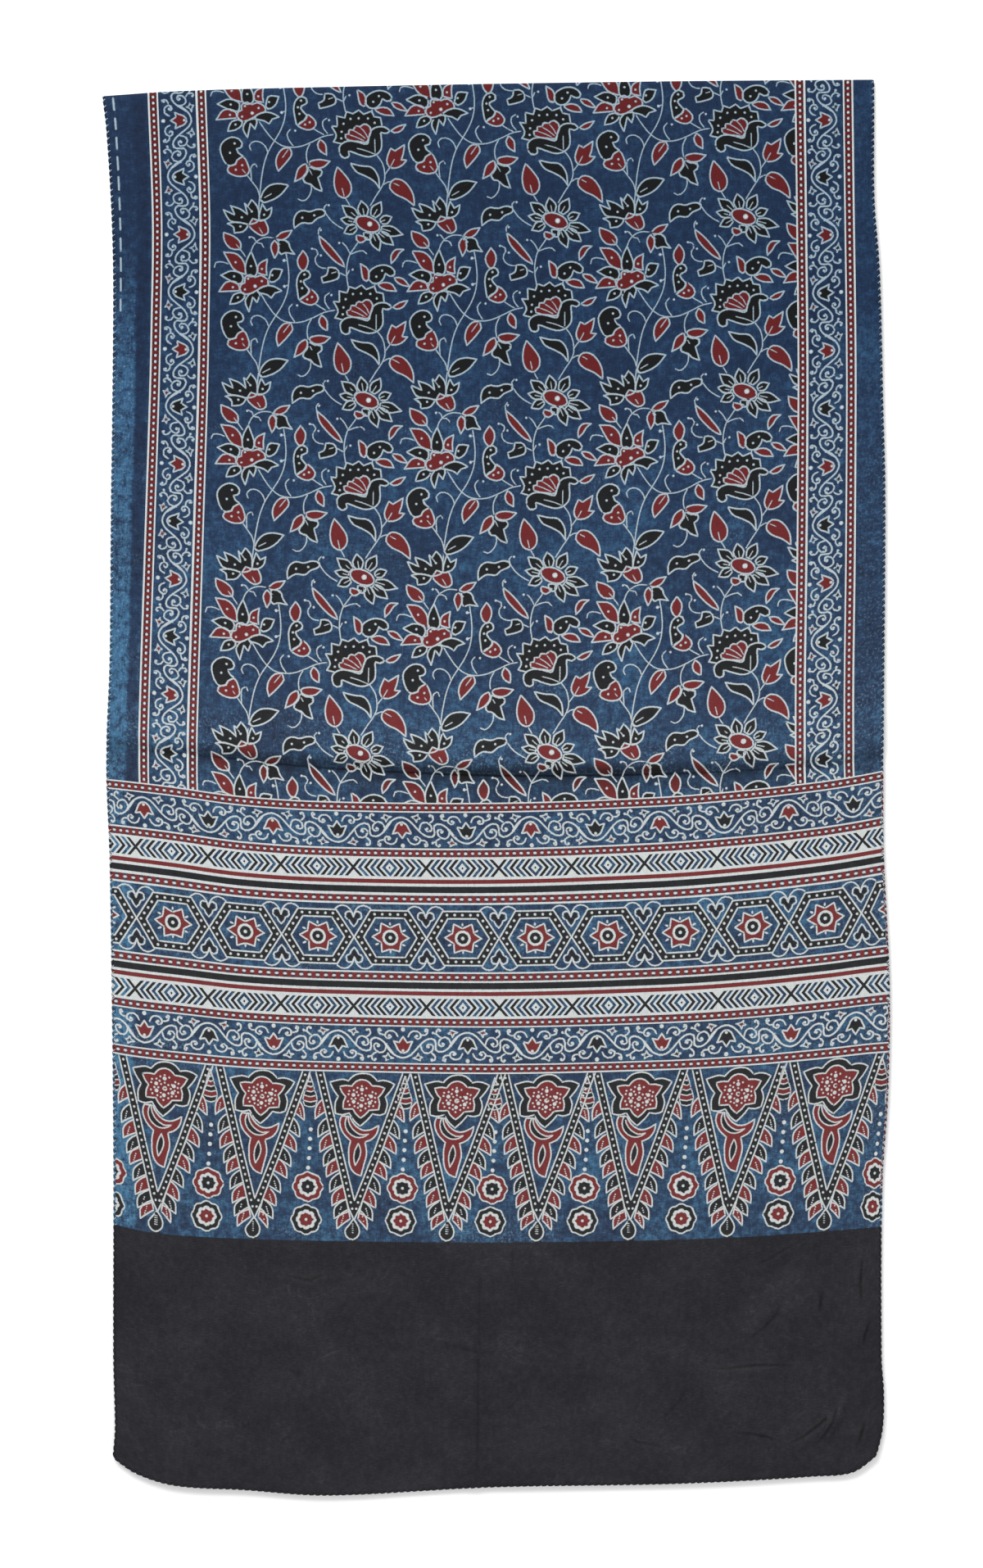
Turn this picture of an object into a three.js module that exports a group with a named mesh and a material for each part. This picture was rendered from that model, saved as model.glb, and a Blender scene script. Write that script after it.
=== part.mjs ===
// A block-printed stole, folded once across the middle of its length and laid face up on a flat surface.
// One thin sheet of cloth runs from the hidden end along the surface to the fold, turns over in a small round
// bend, and comes back on top, where its printed end shows. Units are millimetres and +Z is up. +Y points to
// the fold, +X to the right of the person who looks down on it with the fold at the top.

import * as THREE from "three";

const STOLE_WIDTH = 559;
const STOLE_LENGTH = 2032;
const HALF_LENGTH = STOLE_LENGTH / 2;

const SHEET = 1.1; // thickness of each layer
const GAP = 1.0; // air between the two layers
const HEM_EXTRA = 0.3; // how far the rolled hem stands proud on each face of the upper layer
const HEM_WIDTH = 3.0;
const LOWER_INSET = 2.5; // the hidden layer lies this far inside the outline of the upper one
const INSET_REACH = 60; // distance from the fold over which the two outlines part

// How the side edges of the upper layer lie. The distance along the cloth is measured from the fold.
const SIDE_EDGES = [
  { along: 0, left: -285.0, right: 273.8 },
  { along: 25, left: -282.3, right: 273.8 },
  { along: 90, left: -278.5, right: 273.9 },
  { along: 145, left: -277.2, right: 277.8 },
  { along: 250, left: -277.9, right: 280.4 },
  { along: 310, left: -278.7, right: 281.8 },
  { along: 430, left: -279.8, right: 281.2 },
  { along: 510, left: -282.2, right: 280.4 },
  { along: 580, left: -279.8, right: 280.8 },
  { along: 670, left: -278.3, right: 285.0 },
  { along: 745, left: -277.4, right: 284.0 },
  { along: 810, left: -277.0, right: 279.8 },
  { along: 940, left: -277.1, right: 279.2 },
  { along: 966, left: -276.5, right: 280.8 },
  { along: 995, left: -276.0, right: 280.0 },
  { along: HALF_LENGTH, left: -277.6, right: 275.5 },
];

// Where five straight lines of the cloth lie. The tight hems draw its edges up, so each line sags in the middle.
// ACROSS holds the places, as shares of the width from the left edge, that the columns of LINES stand for.
const ACROSS = [0, 0.03, 0.08, 0.17, 0.28, 0.5, 0.71, 0.82, 0.92, 0.97, 1];
const LINES = [
  { name: "fold", along: 0, y: [501.8, 503, 505, 506.8, 508.3, 510.7, 512.4, 513, 513.4, 513.6, 513.7] },
  { name: "crease", along: 501, y: [27.4, 25.6, 22.8, 19.2, 15, 8.2, 8.8, 11.4, 14.8, 18, 19.7] },
  { name: "first band", along: 524.5, y: [1.8, 0, -3.4, -10.4, -14.3, -15.5, -11.3, -6.4, 0, 4.4, 7.7] },
  { name: "black end", along: 840, y: [-318.2, -322.4, -326, -328.6, -330.2, -331.3, -329.6, -327.4, -323.6, -321.4, -320] },
  { name: "end hem", along: HALF_LENGTH, y: [-487.5, -498.5, -507, -510.2, -514.2, -508.2, -506.2, -503.8, -500.4, -497.5, -486] },
];

// The old fold across the cloth: how high the cloth stands before and past the line of its crease.
const CREASE_ALONG = 501;
const CREASE_SECTION = [
  { past: -80, rise: 0 },
  { past: -48, rise: 1.5 },
  { past: -24, rise: 4.2 },
  { past: -12, rise: 5.2 },
  { past: -5, rise: 4.0 },
  { past: 0, rise: 0 },
  { past: 5, rise: 0.8 },
  { past: 16, rise: 1.8 },
  { past: 55, rise: 0 },
];
// How strong that fold is across the width.
const CREASE_STRENGTH = [
  { across: 0, share: 0.4 },
  { across: 0.15, share: 0.75 },
  { across: 0.45, share: 1.0 },
  { across: 0.65, share: 1.0 },
  { across: 0.85, share: 0.75 },
  { across: 1, share: 0.4 },
];

// The pressed line down the middle of the cloth: a low sharp ridge that drifts to the left.
const PRESSED_LINE = { top: 0.5096, bottom: 0.474, rise: 0.9, halfWidth: 9 };

// Soft folds in the loose corner at the lower right, each from one place to another.
const CORNER_FOLDS = [
  { name: "main", fromX: 262, fromY: -441, toX: 235, toY: -496, rise: 3.2, width: 10 },
  { name: "beside the hem", fromX: 272, fromY: -448, toX: 266, toY: -490, rise: 2.0, width: 6 },
  { name: "inner", fromX: 242, fromY: -435, toX: 208, toY: -480, rise: 2.4, width: 9 },
  { name: "upper level", fromX: 158, fromY: -418, toX: 226, toY: -412, rise: 1.8, width: 8 },
  { name: "lower level", fromX: 160, fromY: -463, toX: 210, toY: -469, rise: 1.8, width: 8 },
  { name: "short", fromX: 262, fromY: -372, toX: 259, toY: -405, rise: 1.4, width: 6 },
  { name: "below the border", fromX: 190, fromY: -340, toX: 226, toY: -322, rise: 1.4, width: 8 },
];

// The slow unevenness of a sheet that was smoothed by hand.
const SWELLS = [
  { rise: 0.35, acrossTurns: 2.0, alongTurns: 1.0, start: 0.4 },
  { rise: 0.3, acrossTurns: -1.3, alongTurns: 3.1, start: 2.1 },
  { rise: 0.2, acrossTurns: 4.2, alongTurns: 2.3, start: 4.0 },
];

const lerp = THREE.MathUtils.lerp;
const clamp = THREE.MathUtils.clamp;

// A smooth curve through points given in order, with the slope at each taken from its two neighbours.
function smooth(places, values, at) {
  const last = places.length - 1;
  const x = clamp(at, places[0], places[last]);
  let i = 0;
  while (i < last - 1 && x > places[i + 1]) i += 1;
  const slope = (k) => {
    const before = Math.max(k - 1, 0);
    const after = Math.min(k + 1, last);
    return (values[after] - values[before]) / (places[after] - places[before]);
  };
  const span = places[i + 1] - places[i];
  const t = (x - places[i]) / span;
  return (
    values[i] * (1 + 2 * t) * (1 - t) ** 2 +
    values[i + 1] * t * t * (3 - 2 * t) +
    span * (slope(i) * t * (1 - t) ** 2 + slope(i + 1) * t * t * (t - 1))
  );
}

function straight(places, values, at) {
  const last = places.length - 1;
  const x = clamp(at, places[0], places[last]);
  let i = 0;
  while (i < last - 1 && x > places[i + 1]) i += 1;
  return lerp(values[i], values[i + 1], (x - places[i]) / (places[i + 1] - places[i]));
}

const column = (table, key) => table.map((row) => row[key]);

// Where a point of the flat cloth lies: across is a share of the width, along is in millimetres from the fold.
function place(along, across) {
  const at = column(SIDE_EDGES, "along");
  const left = smooth(at, column(SIDE_EDGES, "left"), along);
  const right = smooth(at, column(SIDE_EDGES, "right"), along);
  const heights = LINES.map((line) => smooth(ACROSS, line.y, across));
  return {
    x: lerp(left, right, across),
    y: smooth(column(LINES, "along"), heights, along),
  };
}

const pressedLine = (along) => lerp(PRESSED_LINE.top, PRESSED_LINE.bottom, along / HALF_LENGTH);

function foldRise(fold, x, y) {
  const run = new THREE.Line3(
    new THREE.Vector3(fold.fromX, fold.fromY, 0),
    new THREE.Vector3(fold.toX, fold.toY, 0),
  );
  const nearest = run.closestPointToPoint(new THREE.Vector3(x, y, 0), true, new THREE.Vector3());
  const away = Math.hypot(x - nearest.x, y - nearest.y) / fold.width;
  return fold.rise * Math.exp(-away * away);
}

// How far the upper layer stands above its lowest place.
function rise(along, across) {
  const { x, y } = place(along, across);
  const crease =
    straight(column(CREASE_SECTION, "past"), column(CREASE_SECTION, "rise"), along - CREASE_ALONG) *
    straight(column(CREASE_STRENGTH, "across"), column(CREASE_STRENGTH, "share"), across);
  const fromPressedLine = Math.abs(across - pressedLine(along)) * STOLE_WIDTH;
  const pressed = PRESSED_LINE.rise * Math.max(0, 1 - fromPressedLine / PRESSED_LINE.halfWidth);
  const corner = CORNER_FOLDS.reduce((sum, fold) => sum + foldRise(fold, x, y), 0);
  const swell = SWELLS.reduce((sum, wave) => {
    const turn = wave.acrossTurns * across + (wave.alongTurns * along) / HALF_LENGTH;
    return sum + wave.rise * (1 + Math.sin(2 * Math.PI * turn + wave.start));
  }, 0);
  const nearFold = clamp(along / INSET_REACH, 0, 1);
  return crease + corner + (pressed + swell) * nearFold;
}

// Columns of the section: closer at the hems, at the pressed line and in the loose corner.
const FROM_EDGE = [0, 2, 5].map((mm) => mm / STOLE_WIDTH);
const LEFT_SHARES = [0.12, 0.25, 0.4, 0.55, 0.7, 0.85];
const RIGHT_SHARES = [0.14, 0.28, 0.42, 0.54, 0.64, 0.72, 0.79, 0.85, 0.9, 0.95];
const PRESSED_SHARE = PRESSED_LINE.halfWidth / STOLE_WIDTH;

function columnsAt(along) {
  const middle = pressedLine(along);
  const inner = FROM_EDGE[FROM_EDGE.length - 1];
  return [
    ...FROM_EDGE,
    ...LEFT_SHARES.map((share) => lerp(inner, middle - PRESSED_SHARE, share)),
    middle - PRESSED_SHARE,
    middle,
    middle + PRESSED_SHARE,
    ...RIGHT_SHARES.map((share) => lerp(middle + PRESSED_SHARE, 1 - inner, share)),
    ...FROM_EDGE.map((share) => 1 - share).reverse(),
  ];
}

// Rows along the upper layer, closer at the crease and towards the end.
const evenly = (from, to, steps) => Array.from({ length: steps }, (_, i) => lerp(from, to, i / steps));
const UPPER_ROWS = [
  ...evenly(0, 420, 10),
  ...CREASE_SECTION.map((row) => CREASE_ALONG + row.past),
  ...evenly(590, 830, 6),
  ...evenly(830, 1004, 13),
  HALF_LENGTH - 8,
  HALF_LENGTH - HEM_WIDTH,
  HALF_LENGTH,
].slice(1);
const LOWER_ROWS = [0, 25, 90, 250, 430, 510, 600, 680, 810, 940, 995, HALF_LENGTH].slice(1);
const BEND_STEPS = 6;

const UNDERSIDE = SHEET + GAP;
const BEND_RADIUS = SHEET + GAP / 2;

// One row of the section gives, for each column, a point on the printed face and one on the plain face.
function upperRow(along) {
  return columnsAt(along).map((across) => {
    const { x, y } = place(along, across);
    const fromSide = Math.min(across, 1 - across) * STOLE_WIDTH;
    const atHem = Math.min(fromSide, HALF_LENGTH - along) < HEM_WIDTH ? HEM_EXTRA : 0;
    const under = UNDERSIDE + rise(along, across);
    return {
      printed: new THREE.Vector3(x, y, under + SHEET + atHem),
      plain: new THREE.Vector3(x, y, under - atHem),
    };
  });
}

function bendRow(angle) {
  return columnsAt(0).map((across) => {
    const { x, y } = place(0, across);
    const out = (radius) =>
      new THREE.Vector3(
        x,
        y - BEND_RADIUS + radius * Math.cos(angle),
        BEND_RADIUS + radius * Math.sin(angle),
      );
    return { printed: out(BEND_RADIUS), plain: out(GAP / 2) };
  });
}

function lowerRow(along) {
  const inset = LOWER_INSET * clamp(along / INSET_REACH, 0, 1);
  return columnsAt(along).map((across) => {
    const { x, y } = place(along, across);
    const inward = lerp(inset, -inset, across);
    const upward = LOWER_INSET * (along / HALF_LENGTH) ** 4;
    return {
      printed: new THREE.Vector3(x + inward, y + upward, 0),
      plain: new THREE.Vector3(x + inward, y + upward, SHEET),
    };
  });
}

const bendAngles = evenly(-Math.PI / 2, Math.PI / 2, BEND_STEPS).concat(Math.PI / 2);
const section = [
  ...[...LOWER_ROWS].reverse().map(lowerRow),
  ...bendAngles.map(bendRow),
  ...UPPER_ROWS.map(upperRow),
];

// Joins the rows into one closed surface: the two faces of the sheet, its two long edges and its two ends.
function sheetGeometry(rows) {
  const columns = rows[0].length;
  const positions = rows.flatMap((row) => row.flatMap(({ printed, plain }) => [...printed, ...plain]));
  const PRINTED = 0;
  const PLAIN = 1;
  const corner = (row, col, face) => 2 * (row * columns + col) + face;
  const index = [];
  const quad = (a, b, c, d) => index.push(a, b, c, a, c, d);
  for (let r = 0; r < rows.length - 1; r += 1) {
    for (let c = 0; c < columns - 1; c += 1) {
      quad(corner(r, c, PRINTED), corner(r + 1, c, PRINTED), corner(r + 1, c + 1, PRINTED), corner(r, c + 1, PRINTED));
      quad(corner(r, c, PLAIN), corner(r, c + 1, PLAIN), corner(r + 1, c + 1, PLAIN), corner(r + 1, c, PLAIN));
    }
    const right = columns - 1;
    quad(corner(r, 0, PLAIN), corner(r + 1, 0, PLAIN), corner(r + 1, 0, PRINTED), corner(r, 0, PRINTED));
    quad(corner(r, right, PRINTED), corner(r + 1, right, PRINTED), corner(r + 1, right, PLAIN), corner(r, right, PLAIN));
  }
  const end = rows.length - 1;
  for (let c = 0; c < columns - 1; c += 1) {
    quad(corner(0, c, PLAIN), corner(0, c, PRINTED), corner(0, c + 1, PRINTED), corner(0, c + 1, PLAIN));
    quad(corner(end, c, PRINTED), corner(end, c, PLAIN), corner(end, c + 1, PLAIN), corner(end, c + 1, PRINTED));
  }
  const geometry = new THREE.BufferGeometry();
  geometry.setAttribute("position", new THREE.Float32BufferAttribute(positions, 3));
  geometry.setIndex(index);
  geometry.computeVertexNormals();
  return geometry;
}

const clothGeometry = sheetGeometry(section);
clothGeometry.computeBoundingBox();
const centre = clothGeometry.boundingBox.getCenter(new THREE.Vector3());
clothGeometry.translate(-centre.x, -centre.y, 0);

const indigoCloth = new THREE.MeshStandardMaterial({ color: "#2f5075", roughness: 0.62, metalness: 0 });

const cloth = new THREE.Mesh(clothGeometry, indigoCloth);
cloth.name = "folded_cloth";

const stole = new THREE.Group();
stole.add(cloth);

export default stole;
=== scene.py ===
import functools
import math
import bpy
import numpy as np
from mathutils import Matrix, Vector


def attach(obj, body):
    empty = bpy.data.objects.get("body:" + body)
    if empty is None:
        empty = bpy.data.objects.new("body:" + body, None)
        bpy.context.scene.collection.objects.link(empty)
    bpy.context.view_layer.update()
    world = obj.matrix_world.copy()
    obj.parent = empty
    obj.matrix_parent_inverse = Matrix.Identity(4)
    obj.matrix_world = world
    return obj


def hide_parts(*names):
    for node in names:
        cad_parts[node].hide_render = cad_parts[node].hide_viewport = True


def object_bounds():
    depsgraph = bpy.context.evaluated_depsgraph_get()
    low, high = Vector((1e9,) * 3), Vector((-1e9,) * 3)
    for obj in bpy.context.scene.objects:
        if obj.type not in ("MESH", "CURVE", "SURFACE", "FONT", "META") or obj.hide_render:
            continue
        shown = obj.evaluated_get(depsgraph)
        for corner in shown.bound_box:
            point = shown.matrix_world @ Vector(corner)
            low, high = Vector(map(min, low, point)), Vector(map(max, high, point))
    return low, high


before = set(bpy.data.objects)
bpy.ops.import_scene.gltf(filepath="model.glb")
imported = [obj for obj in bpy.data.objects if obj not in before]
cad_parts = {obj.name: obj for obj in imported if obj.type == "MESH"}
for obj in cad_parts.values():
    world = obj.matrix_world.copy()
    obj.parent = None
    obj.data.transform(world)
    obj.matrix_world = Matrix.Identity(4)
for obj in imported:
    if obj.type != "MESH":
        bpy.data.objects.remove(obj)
cad_low, cad_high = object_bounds()

# The looks of a block-printed stole, folded once and laid face up. Lengths are millimetres until a mesh is
# made. Places on the flat cloth are (across, along): across from the outer white line of the left border, and
# along from the fold. Places on the table are the frame's x and y.
MM = 0.001
LEFT_EDGE = -25.0
RIGHT_EDGE = 534.0
PRINT_WIDTH = 516.0
HALF_LENGTH = 1016.0
STOLE_WIDTH = RIGHT_EDGE - LEFT_EDGE
PRINT_END = 840.0
rng = np.random.default_rng(20)

# The camera looks straight down, and the picture is so many millimetres high on the table.
PICTURE_HEIGHT = 1140.2
PICTURE_CENTRE = (-3.3, 1.8)
LENS = 100.0
SENSOR = 36.0


def set_camera():
    data = bpy.data.cameras.new("camera")
    data.lens = LENS
    data.sensor_width = SENSOR
    camera = bpy.data.objects.new("camera", data)
    x, y = PICTURE_CENTRE
    camera.location = (x * MM, y * MM, PICTURE_HEIGHT * MM * LENS / SENSOR)
    bpy.context.scene.collection.objects.link(camera)
    bpy.context.scene.camera = camera


set_camera()

# Where the cloth lies. Each row is a distance along the cloth and the place of its left and right edge.
SIDE_EDGES = np.array([
    (0, -285.0, 273.8), (25, -282.3, 273.8), (90, -278.5, 273.9), (145, -277.2, 277.8),
    (250, -277.9, 280.4), (310, -278.7, 281.8), (430, -279.8, 281.2), (510, -282.2, 280.4),
    (580, -279.8, 280.8), (670, -278.3, 285.0), (745, -277.4, 284.0), (810, -277.0, 279.8),
    (940, -277.1, 279.2), (966, -276.5, 280.8), (995, -276.0, 280.0), (1016, -277.6, 275.5),
])
# The same for the outer white lines of the print.
PRINT_EDGES = np.array([
    (0, -253.2, 259.4), (97, -249.9, 260.4), (180, -250.9, 261.5), (230, -252.0, 261.8),
    (350, -255.8, 261.2), (470, -259.4, 260.0), (524, -259.4, 260.5), (600, -254.2, 265.0),
    (670, -253.3, 267.0), (745, -252.5, 266.5), (840, -251.7, 265.6), (1016, -252.6, 262.0),
])
# Four straight lines across the cloth, which the tight hems bend at the sides: the fold, the middle of the
# first stripe, the end of the print and the end of the cloth. Places across are shares of the width.
LINES_ACROSS = np.array([0, 0.03, 0.08, 0.17, 0.28, 0.5, 0.71, 0.82, 0.92, 0.97, 1])
LINES_ALONG = np.array([0, 524.5, PRINT_END, HALF_LENGTH])
LINES = np.array([
    (501.8, 503, 505, 506.8, 508.3, 510.7, 512.4, 513, 513.4, 513.6, 513.7),
    (1.8, 0, -3.4, -10.4, -14.3, -15.5, -11.3, -6.4, 0, 4.4, 7.7),
    (-318.2, -322.4, -326, -328.6, -330.2, -331.3, -329.6, -327.4, -323.6, -321.4, -320),
    (-487.5, -498.5, -507, -510.2, -514.2, -508.2, -506.2, -503.8, -500.4, -497.5, -486),
])
# The old fold drifts over the print. Its line is a share of the width and a place along, and its section is
# how far past the line and how high the cloth stands.
OLD_FOLD_LINE = np.array([(0, 497.6), (0.17, 494), (0.29, 497), (0.5, 501.3), (0.72, 504.5), (0.96, 509.8)])
OLD_FOLD_SECTION = np.array([
    (-80, 0), (-48, 1.5), (-24, 4.2), (-12, 5.2), (-5, 4.0), (0, 0), (5, 0.8), (16, 1.8), (55, 0),
])
OLD_FOLD_STRENGTH = np.array([(0, 0.4), (0.15, 0.75), (0.45, 1.0), (0.65, 1.0), (0.85, 0.75), (1, 0.4)])
# The pressed line down the cloth, as a share of the width by the fold and at the end.
PRESSED_TOP = 0.5096
PRESSED_BOTTOM = 0.474
PRESSED_HEIGHT = 0.9
PRESSED_HALF = 9
# Short creases of the plain end, as places on the table. Each has a ridge on its left, so high and so wide,
# and a valley with a painted shade that darkens its colour by a share.
CREASES = [
    ([(250.9, -444.8), (245.7, -454.9), (234.4, -464), (222.1, -473.4), (207.6, -479.5)], 3.9, 8, 0.775),
    ([(249.8, -445.6), (244.7, -461.1), (238.5, -471.4), (230.2, -480.7)], 2.6, 5, 0.625),
    ([(220, -421.8), (205.6, -420.5), (189.1, -420.5), (172.8, -422.5), (155.3, -424.1)], 2.86, 7, 0.625),
    ([(207.6, -476.6), (197.4, -473), (185.1, -470.4), (162.5, -469)], 2.6, 6, 0.625),
    ([(225.1, -328.7), (207.6, -337.8), (197.4, -344.1), (187.2, -348.2)], 2.34, 6, 0.5625),
    ([(178.9, -404.5), (193.3, -393.2), (203.4, -383), (207.6, -370.8)], 2.08, 8, 0.375),
    ([(234.4, -383), (235.4, -374.7), (236.4, -366.7)], 1.56, 6, 0.5),
    ([(266.2, -405.7), (267.2, -399.5), (271.3, -387.2)], 1.82, 4, 0.5625),
    ([(121.2, -479.5), (102.8, -476.6), (94.7, -471.2)], 1.82, 6, 0.4375),
    ([(269.3, -459.1), (265.2, -471.2), (262.1, -480.7)], 2.08, 5, 0.625),
    ([(265.2, -378.9), (264.2, -358.4), (266.2, -340)], 1.69, 5, 0.5),
    ([(-111, -353.6), (-128.1, -355.8), (-135, -359.2), (-147.6, -356.5), (-159.1, -353.6)], 2.6, 6, 0.5),
    ([(-14.8, -500), (-13.9, -488.5), (-13.2, -411), (-12.3, -333.6)], 0.91, 6, 0.275),
    ([(11.6, -357.4), (11.6, -333.6)], 0.78, 5, 0.25),
    ([(120, -460), (131, -448), (139, -437)], 1.56, 7, 0.25),
    ([(-36, -405), (-20, -409), (-4, -412)], 1.3, 7, 0.25),
]
# Low swells: how high, the turns across and along the cloth, and where they start.
SWELLS = [(0.35, 2.0, 1.0, 0.4), (0.3, -1.3, 3.1, 2.1), (0.2, 4.2, 2.3, 4.0)]
# How high the upper half lies, and the radius of its bend at the fold, a little inside the bend of the solid.
# The bend draws the print in over so much cloth, and creases and swells fade over so much beside the fold.
TOP_FACE = 3.1
BEND_RADIUS = 1.5
CAD_BEND_RADIUS = 1.6
BEND_DRAWS_IN = 42
FLAT_BY_FOLD = 60
CREASE_REACH = 6
# The tables above are for a cloth with these left and upper edges. The frame says where they really are.
TABLE_LEFT = -285.0
TABLE_TOP = 513.7
SHIFT = Vector((cad_low.x / MM - TABLE_LEFT, cad_high.y / MM - TABLE_TOP, 0))


def smooth(places, values, at):
    """A smooth curve through values at places, with the slope at each from its two neighbours."""
    places = np.asarray(places, float)
    values = np.asarray(values, float)
    last = len(places) - 1
    x = np.clip(at, places[0], places[-1])
    i = np.clip(np.searchsorted(places, x, side="right") - 1, 0, last - 1)
    after = np.minimum(np.arange(last + 1) + 1, last)
    before = np.maximum(np.arange(last + 1) - 1, 0)
    gap = (places[after] - places[before]).reshape((-1,) + (1,) * (values.ndim - 1))
    slopes = (values[after] - values[before]) / gap

    def pick(table, k):
        return table[k] if table.ndim == 1 else np.take_along_axis(table, k[None], 0)[0]

    span = places[i + 1] - places[i]
    t = (x - places[i]) / span
    return (
        pick(values, i) * (1 + 2 * t) * (1 - t) ** 2
        + pick(values, i + 1) * t * t * (3 - 2 * t)
        + span * (pick(slopes, i) * t * (1 - t) ** 2 + pick(slopes, i + 1) * t * t * (t - 1))
    )


def straight(table, at):
    return np.interp(at, table[:, 0], table[:, 1])


def place_on_table(across, along):
    """Where a point of the flat cloth lies: x and y, and its share of the width."""
    along = np.clip(along, 0, HALF_LENGTH)
    left = smooth(SIDE_EDGES[:, 0], SIDE_EDGES[:, 1], along)
    right = smooth(SIDE_EDGES[:, 0], SIDE_EDGES[:, 2], along)
    print_left = smooth(PRINT_EDGES[:, 0], PRINT_EDGES[:, 1], along)
    print_right = smooth(PRINT_EDGES[:, 0], PRINT_EDGES[:, 2], along)
    x = np.where(
        across < 0,
        left + (across - LEFT_EDGE) / -LEFT_EDGE * (print_left - left),
        np.where(
            across > PRINT_WIDTH,
            print_right + (across - PRINT_WIDTH) / (RIGHT_EDGE - PRINT_WIDTH) * (right - print_right),
            print_left + across / PRINT_WIDTH * (print_right - print_left),
        ),
    )
    share = (x - left) / (right - left)
    heights = np.stack([smooth(LINES_ACROSS, line, share) for line in LINES])
    y = smooth(LINES_ALONG, heights, along)
    y = y - CAD_BEND_RADIUS * np.clip(1 - along / BEND_DRAWS_IN, 0, 1)
    return x, y, share


def off_line(line, x, y):
    """The distance to a line, below 0 on its right, and how far along the line it is, from 0 to 1."""
    nearest = np.full(x.shape, 1e6)
    share = np.zeros(x.shape)
    for k, (start, end) in enumerate(zip(line[:-1], line[1:])):
        run_x, run_y = end[0] - start[0], end[1] - start[1]
        from_x, from_y = x - start[0], y - start[1]
        t = np.clip((from_x * run_x + from_y * run_y) / (run_x ** 2 + run_y ** 2), 0, 1)
        away = np.hypot(from_x - t * run_x, from_y - t * run_y)
        side = np.where(run_x * from_y - run_y * from_x > 0, 1, -1)
        nearer = away < np.abs(nearest)
        nearest = np.where(nearer, away * side, nearest)
        share = np.where(nearer, (k + t) / (len(line) - 1), share)
    return nearest, share


def rise(x, y, share, along):
    """How far the upper layer stands above its lowest place."""
    past = along - straight(OLD_FOLD_LINE, share)
    old_fold = smooth(OLD_FOLD_SECTION[:, 0], OLD_FOLD_SECTION[:, 1], past)
    old_fold *= straight(OLD_FOLD_STRENGTH, share)
    pressed_at = PRESSED_TOP + (PRESSED_BOTTOM - PRESSED_TOP) * along / HALF_LENGTH
    from_pressed = np.abs(share - pressed_at) * STOLE_WIDTH
    pressed = PRESSED_HEIGHT * np.clip(1 - from_pressed / PRESSED_HALF, 0, 1) ** 1.3
    swell = sum(
        high * (1 + np.sin(2 * np.pi * (across_turns * share + along_turns * along / HALF_LENGTH) + start))
        for high, across_turns, along_turns, start in SWELLS
    )
    ridges = np.zeros_like(x)
    plain = along > PRINT_END - 20
    for line, high, wide, _ in CREASES:
        off, share_along = off_line(line, x[plain], y[plain])
        ridge = np.where(off > 0, np.exp(-((off - 0.45 * wide) / (0.55 * wide)) ** 2), 0)
        ridges[plain] += high * ridge * np.sin(np.pi * (0.1 + 0.8 * share_along))
    return old_fold + ridges + (pressed + swell) * np.clip(along / FLAT_BY_FOLD, 0, 1)


def upper_surface(across, along):
    """Places on the upper half. Below 0 along, they go round the bend."""
    x, y, share = place_on_table(across, along)
    z = TOP_FACE + rise(x, y, share, np.maximum(along, 0))
    turn = np.clip(-along / BEND_RADIUS, 0, math.pi)
    y = y + BEND_RADIUS * np.sin(turn)
    z = np.where(along < 0, TOP_FACE - BEND_RADIUS + BEND_RADIUS * np.cos(turn), z)
    return np.stack([x + SHIFT.x, y + SHIFT.y, z], -1)


# The lower half lies on the table, and its edges are a little inside those of the upper one.
LOWER_INSET = 2.5
LOWER_FACE = 0.1


def lower_surface(across, along):
    """Places on the lower half."""
    x, y, share = place_on_table(across, along)
    inset = LOWER_INSET * np.clip(along / FLAT_BY_FOLD, 0, 1)
    x = x + inset * (1 - 2 * share)
    y = y + LOWER_INSET * (along / HALF_LENGTH) ** 4
    return np.stack([x + SHIFT.x, y + SHIFT.y, np.full_like(x, LOWER_FACE)], -1)


# The layout of the print. A region is (left, right, top, bottom) on the flat cloth.
BEFORE_FOLD = -6.0
BORDER_END = 520.9
FIELD = (42.8, 473.1, BEFORE_FOLD, BORDER_END)
LEFT_MARGIN = (LEFT_EDGE, 0.0, BEFORE_FOLD, BORDER_END)
LEFT_BORDER = (7.6, 34.9, BEFORE_FOLD, BORDER_END)
RIGHT_BORDER = (481.0, 508.4, BEFORE_FOLD, BORDER_END)
UPPER_SCROLL = (LEFT_EDGE, RIGHT_EDGE, 528.1, 554.0)
HEXAGONS = (LEFT_EDGE, RIGHT_EDGE, 595.0, 643.9)
LOWER_SCROLL = (LEFT_EDGE, RIGHT_EDGE, 684.1, 710.5)
SPEARHEADS = (LEFT_EDGE, RIGHT_EDGE, 717.8, PRINT_END)
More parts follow.
